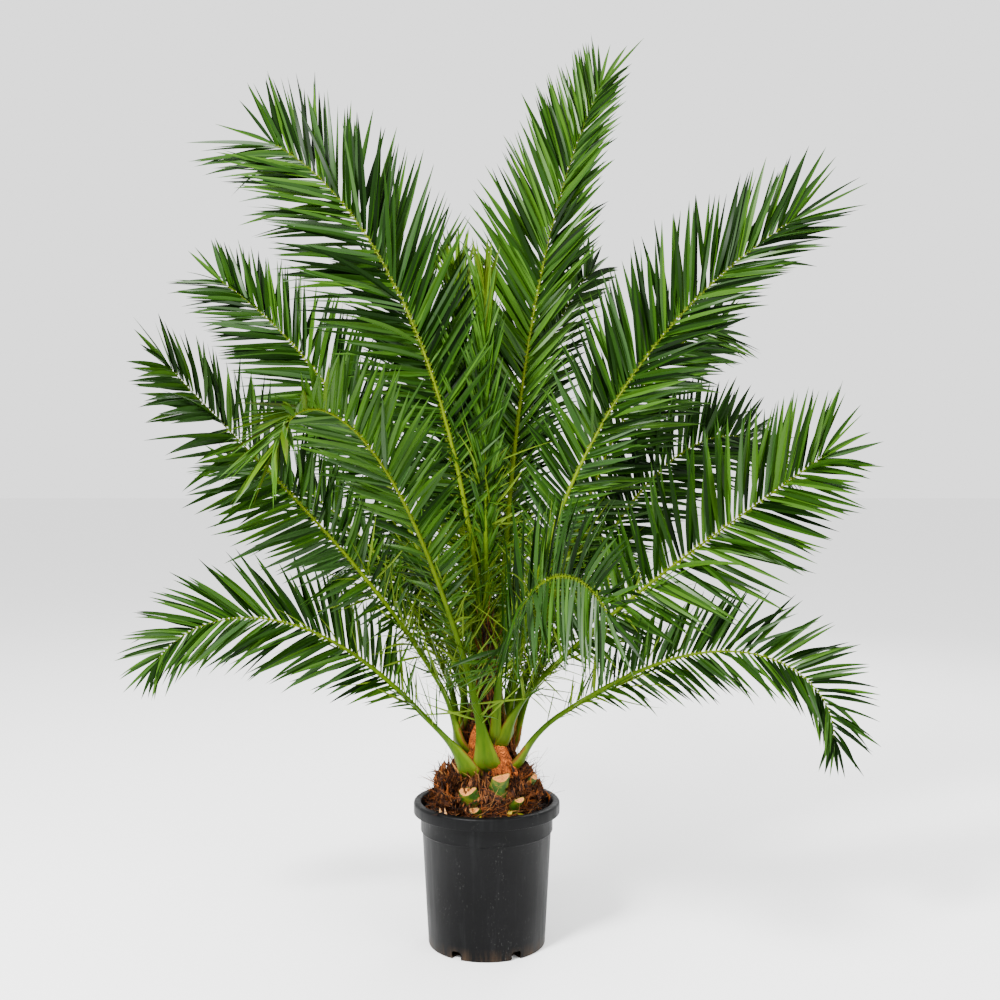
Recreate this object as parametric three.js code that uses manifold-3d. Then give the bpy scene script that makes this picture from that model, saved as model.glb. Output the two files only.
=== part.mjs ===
// A young date palm in a round nursery pot: pot, soil, trunk, cut leaf stubs and arching fronds.
// Millimetres, +Z up. The origin is the centre of the pot's flat underside.
import * as THREE from "three";
import { mergeVertices } from "three/addons/utils/BufferGeometryUtils.js";
import Module from "manifold-3d";

const wasm = await Module();
wasm.setup();

// ---------------------------------------------------------------- driving sizes
const GAP = 0.3; // clearance kept between touching pieces
const POT = {
  height: 314,
  footRadius: 128,
  neckRadius: 141, // wall, just under the collar
  collarRadius: 144.5,
  collarDrop: 67, // from the brim down to the collar's lower step
  collarStep: 3,
  lipRadius: 160,
  lipDrop: 26,
  lipRound: 5,
  mouthRadius: 147,
  wall: 3,
  floor: 4,
};
const NOTCH = { count: 6, firstAngle: 0, width: 23, height: 18, round: 6, roundFacets: 2 };
const SOIL = { top: 296, flatRadius: 118, edgeDrop: 6, unevenness: 5 };
const AROUND = 40; // sides of the round pot pieces

// The trunk's outline: [height above the soil, radius]
const TRUNK_OUTLINE = [
  [0, 102],
  [26, 98],
  [62, 84],
  [100, 70],
  [140, 56],
  [190, 42],
  [250, 30],
  [320, 21],
  [390, 14],
];
const TRUNK_LOBES = { count: 5, depth: 0.07, turn: 1.6 };
const TRUNK_SIDES = 30;

// Cut leaf stubs: [azimuth, height above the soil, length, width, lean from vertical]
const STUB = { sides: 10, sunk: 0.35, thick: 0.62, seat: 12, waist: 0.4, cutShare: 0.72 };
const STUBS = [
  [288, 28, 60, 42, 24],
  [248, 14, 50, 46, 34],
  [306, 0, 46, 26, 40],
  [257, 0, 30, 26, 55],
  [340, 30, 48, 28, 34],
  [150, 8, 52, 34, 32],
  [60, 10, 54, 34, 28],
];

// Every frond: its rib leaves the trunk at an azimuth (0 = +X, 90 = +Y) with a starting slope, droops along
// its length and swings sideways; roll turns the blade about the rib. footHeight is above the soil. The
// columns are named below.
const COLUMNS = ["azimuth", "rise", "droop", "power", "swing", "length", "footRadius", "footHeight",
  "lift", "roll", "leaflet", "tipShare", "open"];
const FRONDS = [
  [160, 85, 59, 2.0, -22, 1600, 28, 133, 23, 58, 245, 0.9, 1.0],
  [60, 84, 30, 1.8, -8, 1625, 36, 138, 3, -35, 250, 0.6, 0.8],
  [12, 84, 51, 1.25, -8, 1380, 42, 118, 0, -66, 235, 0.85, 1.0],
  [35, 66.5, 60, 3.6, 10, 1210, 46, 153, -5, -72, 195, 0.8, 1.15],
  [30, 60, 98, 2.9, 13, 1210, 43, 128, 2, -60, 200, 0.7, 1.05],
  [0, 51, 19, 0.7, -49, 960, 39, 133, 39, -90, 215, 0.65, 1.15],
  [350, 35, 126, 2.9, 3, 875, 59, 81, 48, -80, 158, 0.6, 0.85],
  [190, 49, 102, 2.45, -12, 820, 50, 75, 22, 80, 170, 0.6, 0.85],
  [196, 69, 35, 0.7, 48, 1090, 50, 118, 17, 85, 185, 0.65, 1.0],
  [145, 71, 42, 1.3, 0, 1370, 30, 138, 12, 55, 205, 0.7, 1.0],
  [213, 69, 122, 3.4, 46, 1175, 34, 90, 50, -30, 185, 0.75, 1.0],
  [295, 72, 112, 1.8, 1, 730, 31, 148, 29, -70, 195, 0.7, 1.0],
  [128, 87, 6, 1.5, 0, 880, 26, 278, 0, 30, 150, 0.9, 0.38],
  [96, 90, 4, 1.5, 0, 840, 20, 278, 0, 0, 150, 0.9, 0.3],
  [64, 80, 48, 2.0, -4, 1200, 30, 178, 4, -35, 185, 0.8, 1.0],
  [118, 80, 48, 1.8, 6, 1260, 30, 178, 4, 40, 185, 0.8, 1.0],
  [92, 74, 80, 1.8, 6, 1240, 40, 138, 6, 12, 195, 0.8, 1.0],
  [66, 56, 98, 1.9, -6, 980, 52, 108, 14, -15, 165, 0.7, 1.0],
  [116, 55, 100, 2.0, 8, 960, 52, 103, 14, 20, 165, 0.7, 1.0],
  [92, 44, 104, 2.1, -10, 880, 58, 80, 22, 5, 155, 0.65, 1.0],
  [150, 66, 62, 1.6, 4, 960, 46, 123, 14, 30, 165, 0.7, 1.0],
];

const YOUNG = [11, 13, 14]; // the numbers of the fronds that are still lime green

const RIB = { footWidth: 20, footThick: 12, endWidth: 5, endThick: 3, thinning: 1.6 };
const SHEATH = { width: 44, length: 110 }; // how much wider a rib is where it clasps the trunk
const BLADE = { start: 0.2, edge: 1.2, vee: 16, spread: 66, close: 36, tipWidth: 8 };
const LEAFLET = { start: 0.22, growth: 1.7 };
const LIFT_SHARE = 0.2; // the part of the rib over which the foot's extra lift fades out
const ROLL_FROM = 0.1; // the blade's roll sets in over this stretch of the rib
const ROLL_OVER = 0.35;
const HEADING_POWER = 1.5;
const RIB_STEPS = 80;
const STATIONS = [0, 0.05, 0.1, 0.15, 0.2, 0.28, 0.36, 0.45, 0.54, 0.63, 0.72, 0.8, 0.88, 0.95, 1];
const SPLIT_DROOP = 50; // a frond that droops more than this is two pieces, parted at its bend

const FINISH = {
  pot: { color: 0x2b2c2d, roughness: 0.55 },
  soil: { color: 0x3a271b, roughness: 0.95 },
  trunk: { color: 0x6b4226, roughness: 0.9 },
  stub: { color: 0x8aa03c, roughness: 0.6 },
  leaf: { color: 0x3f7a2a, roughness: 0.5 },
  youngLeaf: { color: 0x8fae3e, roughness: 0.5 },
};

const group = new THREE.Group();
const radians = THREE.MathUtils.degToRad;

// ---------------------------------------------------------------- solids and meshes
function toSolid(geometry) {
  geometry.deleteAttribute("normal");
  geometry.deleteAttribute("uv");
  const merged = mergeVertices(geometry, 1e-3);
  return new wasm.Manifold(new wasm.Mesh({
    numProp: 3,
    vertProperties: new Float32Array(merged.attributes.position.array),
    triVerts: new Uint32Array(merged.index.array),
  }));
}

function toGeometry(solid) {
  const mesh = solid.getMesh();
  const geometry = new THREE.BufferGeometry();
  geometry.setAttribute("position", new THREE.BufferAttribute(mesh.vertProperties, 3));
  geometry.setIndex(new THREE.BufferAttribute(mesh.triVerts, 1));
  geometry.computeVertexNormals();
  return geometry;
}

function addMesh(name, solid, finish) {
  const material = new THREE.MeshStandardMaterial({ ...finish, metalness: 0 });
  const mesh = new THREE.Mesh(toGeometry(solid), material);
  mesh.name = name;
  group.add(mesh);
}

// Each end of a blade is closed as two leaves, left and right of its rib, as the section is an open V.
// Its under side is parted along the same diagonals as its upper side, so that a twisted blade stays thin.
const BLADE_CAP = [[0, 1, 4], [0, 4, 5], [1, 2, 3], [1, 3, 4]];
const BLADE_UNDER = 3;

function fanCap(size) {
  return Array.from({ length: size - 2 }, (_, k) => [0, k + 1, k + 2]);
}

// A closed skin through rings that all have the same number of points
function loft(rings, cap = fanCap(rings[0].length), under = rings[0].length) {
  const size = rings[0].length;
  const positions = rings.flat().flatMap((p) => [p.x, p.y, p.z]);
  const index = [];
  for (let r = 0; r + 1 < rings.length; r += 1) {
    for (let k = 0; k < size; k += 1) {
      const a = r * size + k;
      const b = r * size + ((k + 1) % size);
      if (k < under) index.push(a, b, b + size, a, b + size, a + size);
      else index.push(a, b, a + size, b, b + size, a + size);
    }
  }
  const last = (rings.length - 1) * size;
  for (const [a, b, c] of cap) {
    index.push(a, c, b, last + a, last + b, last + c);
  }
  const geometry = new THREE.BufferGeometry();
  geometry.setAttribute("position", new THREE.BufferAttribute(new Float32Array(positions), 3));
  geometry.setIndex(index);
  return toSolid(geometry);
}

function lathe(profile, sides) {
  const points = profile.map(([radius, height]) => new THREE.Vector2(radius, height));
  const geometry = new THREE.LatheGeometry(points, sides);
  geometry.rotateX(Math.PI / 2);
  return geometry;
}

// ---------------------------------------------------------------- pot and soil
function lipArc() {
  const r = POT.lipRound;
  const centre = { x: POT.lipRadius - r, z: POT.height - r };
  return [0, 30, 60, 90].map((turn) => [
    centre.x + r * Math.cos(radians(turn)),
    centre.z + r * Math.sin(radians(turn)),
  ]);
}

function wallRadius(height) {
  const top = POT.height - POT.collarDrop;
  return POT.footRadius + (POT.neckRadius - POT.footRadius) * Math.min(height / top, 1);
}

function potSolid() {
  const under = POT.height - POT.lipDrop;
  const step = POT.height - POT.collarDrop;
  const inner = (height) => wallRadius(height) - POT.wall;
  const profile = [
    [0, 0],
    [POT.footRadius, 0],
    [wallRadius(step), step],
    [POT.collarRadius, step + POT.collarStep],
    [POT.collarRadius, under],
    [POT.lipRadius, under],
    ...lipArc(),
    [POT.mouthRadius, POT.height],
    [POT.collarRadius - POT.wall, under],
    [POT.collarRadius - POT.wall, step + POT.collarStep],
    [inner(step), step],
    [inner(POT.floor), POT.floor],
    [0, POT.floor],
  ];
  let pot = toSolid(lathe(profile, AROUND));
  for (let k = 0; k < NOTCH.count; k += 1) {
    const turn = radians(NOTCH.firstAngle + (360 / NOTCH.count) * k);
    pot = pot.subtract(notchSolid(turn));
  }
  return pot;
}

// A drain notch: a slot with round upper corners, out through the wall and open at the pot's foot
function notchSolid(turn) {
  const half = NOTCH.width / 2;
  const shape = new THREE.Shape();
  shape.moveTo(-half, -POT.wall);
  shape.lineTo(half, -POT.wall);
  shape.lineTo(half, NOTCH.height - NOTCH.round);
  shape.absarc(half - NOTCH.round, NOTCH.height - NOTCH.round, NOTCH.round, 0, Math.PI / 2);
  shape.absarc(-half + NOTCH.round, NOTCH.height - NOTCH.round, NOTCH.round, Math.PI / 2, Math.PI);
  const depth = 4 * POT.wall;
  const options = { depth, bevelEnabled: false, curveSegments: NOTCH.roundFacets };
  const geometry = new THREE.ExtrudeGeometry(shape, options);
  geometry.translate(0, 0, POT.footRadius - 2 * POT.wall);
  geometry.rotateX(Math.PI / 2);
  geometry.rotateZ(turn + Math.PI / 2);
  return toSolid(geometry);
}

// The soil fills the pot to below its brim, flat under the plant and uneven towards the wall
function soilSolid() {
  const rise = POT.floor + GAP;
  const step = POT.height - POT.collarDrop;
  const inner = (height) => wallRadius(height) - POT.wall - GAP;
  const edge = POT.collarRadius - POT.wall - 2 * GAP;
  const upperStep = step + POT.collarStep;
  const middle = (SOIL.flatRadius + edge) / 2;
  const profile = [
    [0, rise],
    [inner(rise), rise],
    [inner(step), step],
    [edge, upperStep],
    [edge, SOIL.top - SOIL.edgeDrop - SOIL.unevenness],
    [middle, SOIL.top - SOIL.edgeDrop / 3],
    [SOIL.flatRadius, SOIL.top],
    [0, SOIL.top],
  ];
  const geometry = lathe(profile, AROUND);
  const places = geometry.attributes.position;
  for (let k = 0; k < places.count; k += 1) {
    const radius = Math.hypot(places.getX(k), places.getY(k));
    const turn = Math.atan2(places.getY(k), places.getX(k));
    const onTop = radius > SOIL.flatRadius + 1 && places.getZ(k) > upperStep + 1;
    const bump = SOIL.unevenness * (0.5 * Math.sin(5 * turn) + 0.3 * Math.sin(11 * turn + 1));
    if (onTop) places.setZ(k, places.getZ(k) + bump);
  }
  return toSolid(geometry);
}

// ---------------------------------------------------------------- trunk and cut stubs
// The trunk is a short cone, lobed where old leaf feet wrap it; swell makes it a little larger all round
function trunkSolid(swell) {
  const highest = TRUNK_OUTLINE.length - 1;
  const rings = TRUNK_OUTLINE.map(([height, radius], level) => {
    const foot = level === 0 ? GAP - swell : 0;
    const top = level === highest ? swell : 0;
    const z = SOIL.top + height + foot + top;
    return Array.from({ length: TRUNK_SIDES }, (_, k) => {
      const turn = (2 * Math.PI * k) / TRUNK_SIDES;
      const wave = Math.cos(TRUNK_LOBES.count * turn + TRUNK_LOBES.turn * level);
      const reach = radius * (1 + TRUNK_LOBES.depth * wave) + swell;
      return new THREE.Vector3(reach * Math.cos(turn), reach * Math.sin(turn), z);
    });
  });
  return loft(rings);
}

function trunkRadius(height) {
  const at = TRUNK_OUTLINE.findIndex(([level]) => level >= height);
  const [lowHeight, lowRadius] = TRUNK_OUTLINE[Math.max(at - 1, 0)];
  const [highHeight, highRadius] = TRUNK_OUTLINE[at];
  const share = (height - lowHeight) / Math.max(highHeight - lowHeight, 1);
  return THREE.MathUtils.lerp(lowRadius, highRadius, share);
}

// A stub: the thick foot of an old leaf, sawn off square to its length
function stubSolid([azimuth, height, length, width, lean], swell) {
  const turn = radians(azimuth);
  const out = new THREE.Vector3(Math.cos(turn), Math.sin(turn), 0);
  const side = new THREE.Vector3(-Math.sin(turn), Math.cos(turn), 0);
  const along = out.clone().multiplyScalar(Math.sin(radians(lean))).setZ(Math.cos(radians(lean)));
  const face = new THREE.Vector3().crossVectors(along, side);
  const start = out.clone().multiplyScalar(trunkRadius(height + STUB.seat) - width * STUB.sunk);
  start.z = SOIL.top + height + STUB.seat;
  const sections = [[-swell, 1], [length * STUB.waist, 0.95], [length + swell, STUB.cutShare]];
  const rings = sections.map(([distance, share]) => {
    const centre = start.clone().addScaledVector(along, distance);
    return Array.from({ length: STUB.sides }, (_, k) => {
      const a = (2 * Math.PI * k) / STUB.sides;
      return centre.clone()
        .addScaledVector(side, (width / 2 * share + swell) * Math.cos(a))
        .addScaledVector(face, (width / 2 * STUB.thick * share + swell) * Math.sin(a));
    });
  });
  return loft(rings);
}

// ---------------------------------------------------------------- fronds
function slopeAt(frond, s) {
  const lift = frond.lift * Math.max(1 - s / LIFT_SHARE, 0) ** 2;
  return radians(frond.rise + lift - frond.droop * s ** frond.power);
}

function headingAt(frond, s) {
  return radians(frond.azimuth + frond.swing * s ** HEADING_POWER);
}

function directionAt(frond, s) {
  const slope = slopeAt(frond, s);
  const heading = headingAt(frond, s);
  return new THREE.Vector3(Math.cos(slope) * Math.cos(heading), Math.cos(slope) * Math.sin(heading),
    Math.sin(slope));
}

// The rib's point at share s of its length, by small steps from its foot
function ribPoint(frond, s) {
  const steps = Math.max(Math.ceil(s * RIB_STEPS), 1);
  const turn = radians(frond.azimuth);
  const point = new THREE.Vector3(frond.footRadius * Math.cos(turn), frond.footRadius * Math.sin(turn),
    SOIL.top + frond.footHeight);
  for (let k = 0; k < steps; k += 1) {
    point.addScaledVector(directionAt(frond, ((k + 0.5) / steps) * s), (frond.length * s) / steps);
  }
  return point;
}

// The rib's own axes: along it, to its side, and out of the leaf's upper face
function frameAt(frond, s) {
  const along = directionAt(frond, s);
  const heading = headingAt(frond, s);
  const flatSide = new THREE.Vector3(Math.sin(heading), -Math.cos(heading), 0);
  const flatFace = new THREE.Vector3().crossVectors(flatSide, along);
  const share = Math.min(Math.max((s - ROLL_FROM) / ROLL_OVER, 0), 1);
  const roll = radians(frond.roll) * share * share * (3 - 2 * share);
  const side = flatSide.clone().multiplyScalar(Math.cos(roll)).addScaledVector(flatFace, Math.sin(roll));
  const face = flatFace.clone().multiplyScalar(Math.cos(roll)).addScaledVector(flatSide, -Math.sin(roll));
  return { along, side, face };
}

// Leaflet length at share u of the leafy part
function leafletLength(frond, u) {
  const grow = Math.min(LEAFLET.start + LEAFLET.growth * u, 1);
  const fade = 1 - (1 - frond.tipShare) * Math.max(2 * u - 1, 0);
  return frond.leaflet * grow * fade;
}

// One six-sided section of the blade: left edge, upper face, right edge, each with its thickness
function bladeRing(frond, s, swell) {
  const { along, side, face } = frameAt(frond, s);
  const centre = ribPoint(frond, s);
  const clasp = Math.max(1 - (s * frond.length) / SHEATH.length, 0) ** 2;
  const width = THREE.MathUtils.lerp(RIB.footWidth, RIB.endWidth, s) + SHEATH.width * clasp;
  const thick = THREE.MathUtils.lerp(RIB.footThick, RIB.endThick, Math.min(s * RIB.thinning, 1));
  const u = (s - BLADE.start) / (1 - BLADE.start);
  const edgeHalf = (u > 0 ? BLADE.edge : thick * 0.6) / 2 + swell;
  const half = thick / 2 + swell;
  const reach = u > 0 ? leafletLength(frond, u) : 0;
  const angle = radians(frond.open * (BLADE.spread - BLADE.close * Math.max(u, 0) ** 1.3));
  const vee = radians(BLADE.vee);
  const edge = (sign) => centre.clone()
    .addScaledVector(along, reach * Math.cos(angle))
    .addScaledVector(side, sign * (width / 2 + swell + reach * Math.sin(angle) * Math.cos(vee)))
    .addScaledVector(face, reach * Math.sin(angle) * Math.sin(vee));
  const at = (point, rise) => point.clone().addScaledVector(face, rise);
  const left = edge(-1);
  const right = edge(1);
  return [at(left, edgeHalf), at(centre, half), at(right, edgeHalf), at(right, -edgeHalf),
    at(centre, -half), at(left, -edgeHalf)];
}

// The blade's last section, out where the end leaflets meet
function tipRing(frond, swell) {
  const { along, side, face } = frameAt(frond, 1);
  const reach = leafletLength(frond, 1);
  const centre = ribPoint(frond, 1).addScaledVector(along, reach + swell);
  const half = BLADE.edge / 2 + swell;
  const at = (across, rise) => centre.clone().addScaledVector(side, across).addScaledVector(face, rise);
  const wide = BLADE.tipWidth / 2 + swell;
  return [at(-wide, half), at(0, half), at(wide, half), at(wide, -half), at(0, -half), at(-wide, -half)];
}

function bladeSolid(frond, from, to, swell) {
  const inside = STATIONS.filter((s) => s > from + 0.01 && s < to - 0.01);
  const rings = [from, ...inside, to].map((s) => bladeRing(frond, s, swell));
  if (to === 1) rings.push(tipRing(frond, swell));
  return loft(rings, BLADE_CAP, BLADE_UNDER);
}

// Where a frond's droop is half done
function bendShare(frond) {
  return 0.5 ** (1 / frond.power);
}

function frondPieces(frond, name) {
  if (frond.droop < SPLIT_DROOP) return [{ name, from: 0, to: 1 }];
  const bend = bendShare(frond);
  const slack = GAP / frond.length;
  return [
    { name: `${name}_base`, from: 0, to: bend - slack / 2 },
    { name: `${name}_end`, from: bend + slack / 2, to: 1 },
  ];
}

// ---------------------------------------------------------------- assembly
const placed = []; // the solids already in place, each a little swollen, which cut what comes after

function largestPart(solid) {
  return solid.decompose().reduce((best, part) => (part.volume() > best.volume() ? part : best));
}

function boxesMeet(a, b) {
  return [0, 1, 2].every((k) => a.min[k] <= b.max[k] && b.min[k] <= a.max[k]);
}

function place(name, solid, swollen, finish) {
  const box = solid.boundingBox();
  const near = placed.filter((other) => boxesMeet(box, other.boundingBox()));
  const cut = near.reduce((left, other) => left.subtract(other), solid);
  addMesh(name, largestPart(cut), finish);
  placed.push(swollen);
}

addMesh("pot", potSolid(), FINISH.pot);
addMesh("soil", soilSolid(), FINISH.soil);
place("trunk", trunkSolid(0), trunkSolid(GAP), FINISH.trunk);
STUBS.forEach((stub, k) => {
  place(`stub_${k + 1}`, stubSolid(stub, 0), stubSolid(stub, GAP), FINISH.stub);
});
FRONDS.forEach((row, k) => {
  const frond = Object.fromEntries(COLUMNS.map((column, c) => [column, row[c]]));
  const number = k + 1;
  const finish = YOUNG.includes(number) ? FINISH.youngLeaf : FINISH.leaf;
  for (const piece of frondPieces(frond, `frond_${String(number).padStart(2, "0")}`)) {
    const { name, from, to } = piece;
    place(name, bladeSolid(frond, from, to, 0), bladeSolid(frond, from, to, GAP), finish);
  }
});

export default group;
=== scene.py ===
# The looks of a young date palm in a nursery pot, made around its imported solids.
# Metres, +Z up; the origin is the centre of the pot's flat underside, and -Y is the plant's front.
import math
from types import SimpleNamespace

import bmesh
import bpy
import numpy as np
from mathutils import Matrix, Vector, noise


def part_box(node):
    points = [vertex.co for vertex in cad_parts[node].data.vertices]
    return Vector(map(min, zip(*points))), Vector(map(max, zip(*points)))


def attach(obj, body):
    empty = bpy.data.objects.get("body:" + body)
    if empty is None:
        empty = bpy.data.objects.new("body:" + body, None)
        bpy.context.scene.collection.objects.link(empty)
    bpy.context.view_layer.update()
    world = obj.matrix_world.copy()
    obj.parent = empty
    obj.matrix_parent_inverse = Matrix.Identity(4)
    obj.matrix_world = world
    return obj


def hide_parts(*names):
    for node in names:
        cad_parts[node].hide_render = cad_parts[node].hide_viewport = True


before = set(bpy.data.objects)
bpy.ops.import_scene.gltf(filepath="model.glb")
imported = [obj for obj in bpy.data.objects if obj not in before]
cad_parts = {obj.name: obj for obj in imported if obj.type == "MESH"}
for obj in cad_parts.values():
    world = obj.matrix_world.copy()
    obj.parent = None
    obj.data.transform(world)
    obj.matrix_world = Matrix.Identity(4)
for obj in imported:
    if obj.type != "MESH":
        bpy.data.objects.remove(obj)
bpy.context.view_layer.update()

SEED = 41
TAU = 2 * math.pi

# ---------------------------------------------------------------- sizes read from the frame
POT_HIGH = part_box("pot")[1]
TRUNK_LOW, TRUNK_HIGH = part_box("trunk")
BRIM = POT_HIGH.z
LIP_RADIUS = POT_HIGH.x
SOIL_TOP = TRUNK_LOW.z

# The pot's own sizes that its box doesn't give
POT = SimpleNamespace(foot=0.128, neck=0.141, collar=0.1445, collar_drop=0.067, collar_step=0.003,
                      lip_drop=0.026, lip_round=0.006, hem_round=0.0015, edge_round=0.003, mouth=0.147,
                      wall=0.003, floor=0.004, steps=128)
SOIL = SimpleNamespace(gap=0.0006, rings=26, steps=120)
NOTCH = SimpleNamespace(count=6, first=0, width=0.023, height=0.018, depth=0.030, round=0.006)

# Height above the soil and radius of the trunk, as in its solid
TRUNK_OUTLINE = [(0, 0.102), (0.026, 0.098), (0.062, 0.084), (0.1, 0.07), (0.14, 0.056), (0.19, 0.042),
                 (0.25, 0.03), (0.32, 0.021), (0.39, 0.014)]

TRUNK = SimpleNamespace(levels=60, steps=120, sunk=0.006, lobes=5, lobe_depth=0.05, lobe_lean=1.6,
                        level=0.045, ridge_depth=0.07)
# The core under the sheaths is this share slimmer, from a height above the soil on and over so much more
CORE = SimpleNamespace(slim=0.26, above=0.07, over=0.06)

# Old leaf stubs: azimuth, height above the soil, length, width, lean from vertical
STUBS = [
    (288, 0.028, 0.060, 0.042, 24),
    (248, 0.014, 0.050, 0.046, 34),
    (306, 0.000, 0.046, 0.026, 40),
    (257, 0.000, 0.030, 0.026, 55),
    (340, 0.030, 0.048, 0.028, 34),
    (150, 0.008, 0.052, 0.034, 32),
    (60, 0.010, 0.054, 0.034, 28),
]

# Rings up a stub: share of its length, and width against its own
STUB_RINGS = ((-0.15, 1.5), (0.1, 1.36), (0.35, 1.2), (0.6, 1.07), (0.85, 0.98), (1.0, 0.93))

# Every frond, as its solid has it: see slope_at, heading_at and frame_at for what the numbers do
COLUMNS = ("azimuth", "rise", "droop", "power", "swing", "length", "foot_radius", "foot_height",
           "lift", "roll", "leaflet", "tip_share", "open")
FRONDS = [
    (160, 85, 59, 2.0, -22, 1.600, 0.028, 0.133, 23, 58, 0.245, 0.9, 1.0),
    (60, 84, 30, 1.8, -8, 1.625, 0.036, 0.138, 3, -35, 0.250, 0.6, 0.8),
    (12, 84, 51, 1.25, -8, 1.380, 0.042, 0.118, 0, -66, 0.235, 0.85, 1.0),
    (35, 66.5, 60, 3.6, 10, 1.210, 0.046, 0.153, -5, -72, 0.195, 0.8, 1.15),
    (30, 60, 98, 2.9, 13, 1.210, 0.043, 0.128, 2, -60, 0.200, 0.7, 1.05),
    (0, 51, 19, 0.7, -49, 0.960, 0.039, 0.133, 39, -90, 0.215, 0.65, 1.15),
    (350, 35, 126, 2.9, 3, 0.875, 0.059, 0.081, 48, -80, 0.158, 0.6, 0.85),
    (190, 49, 102, 2.45, -12, 0.820, 0.050, 0.075, 22, 80, 0.170, 0.6, 0.85),
    (196, 69, 35, 0.7, 48, 1.090, 0.050, 0.118, 17, 85, 0.185, 0.65, 1.0),
    (145, 71, 42, 1.3, 0, 1.370, 0.030, 0.138, 12, 55, 0.205, 0.7, 1.0),
    (213, 69, 122, 3.4, 46, 1.175, 0.034, 0.090, 50, -30, 0.185, 0.75, 1.0),
    (295, 72, 112, 1.8, 1, 0.730, 0.031, 0.148, 29, -70, 0.195, 0.7, 1.0),
    (128, 87, 6, 1.5, 0, 0.880, 0.026, 0.278, 0, 30, 0.150, 0.9, 0.38),
    (96, 90, 4, 1.5, 0, 0.840, 0.020, 0.278, 0, 0, 0.150, 0.9, 0.3),
    (64, 80, 48, 2.0, -4, 1.200, 0.030, 0.178, 4, -35, 0.185, 0.8, 1.0),
    (118, 80, 48, 1.8, 6, 1.260, 0.030, 0.178, 4, 40, 0.185, 0.8, 1.0),
    (92, 74, 80, 1.8, 6, 1.240, 0.040, 0.138, 6, 12, 0.195, 0.8, 1.0),
    (66, 56, 98, 1.9, -6, 0.980, 0.052, 0.108, 14, -15, 0.165, 0.7, 1.0),
    (116, 55, 100, 2.0, 8, 0.960, 0.052, 0.103, 14, 20, 0.165, 0.7, 1.0),
    (92, 44, 104, 2.1, -10, 0.880, 0.058, 0.080, 22, 5, 0.155, 0.65, 1.0),
    (150, 66, 62, 1.6, 4, 0.960, 0.046, 0.123, 14, 30, 0.165, 0.7, 1.0),
]
# Where the sheaths in front clasp the trunk: frond number to azimuth, height above the soil, and share of
# the full width
CLASPS = {
    11: (271, 0.096, 1.0),
    8: (243, 0.080, 0.70),
    7: (331, 0.092, 0.46),
    6: (304, 0.142, 0.48),
    12: (288, 0.150, 0.15),
    9: (206, 0.130, 0.5),
    3: (325, 0.150, 0.5),
}
JOINS = {11: 0.34, 12: 0.22}  # the fronds whose stalk is led in over a length of its own
LOW_FRONDS = (7, 8, 12, 18, 19, 20)

RIB = SimpleNamespace(foot_width=0.024, foot_thick=0.014, end_width=0.0018, end_thick=0.0018, taper=2.2,
                      thinning=1.4)
SHEATH = SimpleNamespace(width=0.052, thick=0.007, length=0.115, curl=0.13, join=0.17, proud=0.004,
                         tuck=0.030, depth=0.022, drop=0.006)
BLADE = SimpleNamespace(start=0.2, vee=16, spread=66, close=36)
GROWTH = SimpleNamespace(start=0.18, slope=1.6)
EARLY = {7: 0.4, 8: 0.45, 12: 0.65}  # a frond whose first leaflets are already this long a share
LIFT_SHARE = 0.2
ROLL_FROM = 0.1
ROLL_OVER = 0.35
HEADING_POWER = 1.5
RIB_STEPS = 160

LEAFLET = SimpleNamespace(pitch=0.0098, half_width=0.0078, fold=38, open_fold=24, rows=11,
                          pale_foot=0.02)
PLANES = np.array([-12, 3, 14])  # leaflets stand in three planes by turns: degrees above the blade
STRAYS = SimpleNamespace(share=0.05, angle=26, lift=35, bend=0.16)
# How much the leaflets of a row differ from one another; angles in degrees
VARY = SimpleNamespace(place=0.3, angle=4.0, lift=6, length=0.05, bend=0.03, curve=0.025, tilt=17, twist=14)
TIPS = np.array([-19, -9, 3, 15.0])  # degrees off the rib of the last leaflets
WIRES = SimpleNamespace(count=48, low_count=16, start=0.11, end=0.48)
# How many there are of the small things that are dealt out by dice
COUNTS = SimpleNamespace(crumbs=1500, flaps=34, tufts=760, flakes=260, shreds=620, hairs=850, roots=330,
                         coils=300)

# ---------------------------------------------------------------- materials


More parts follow.
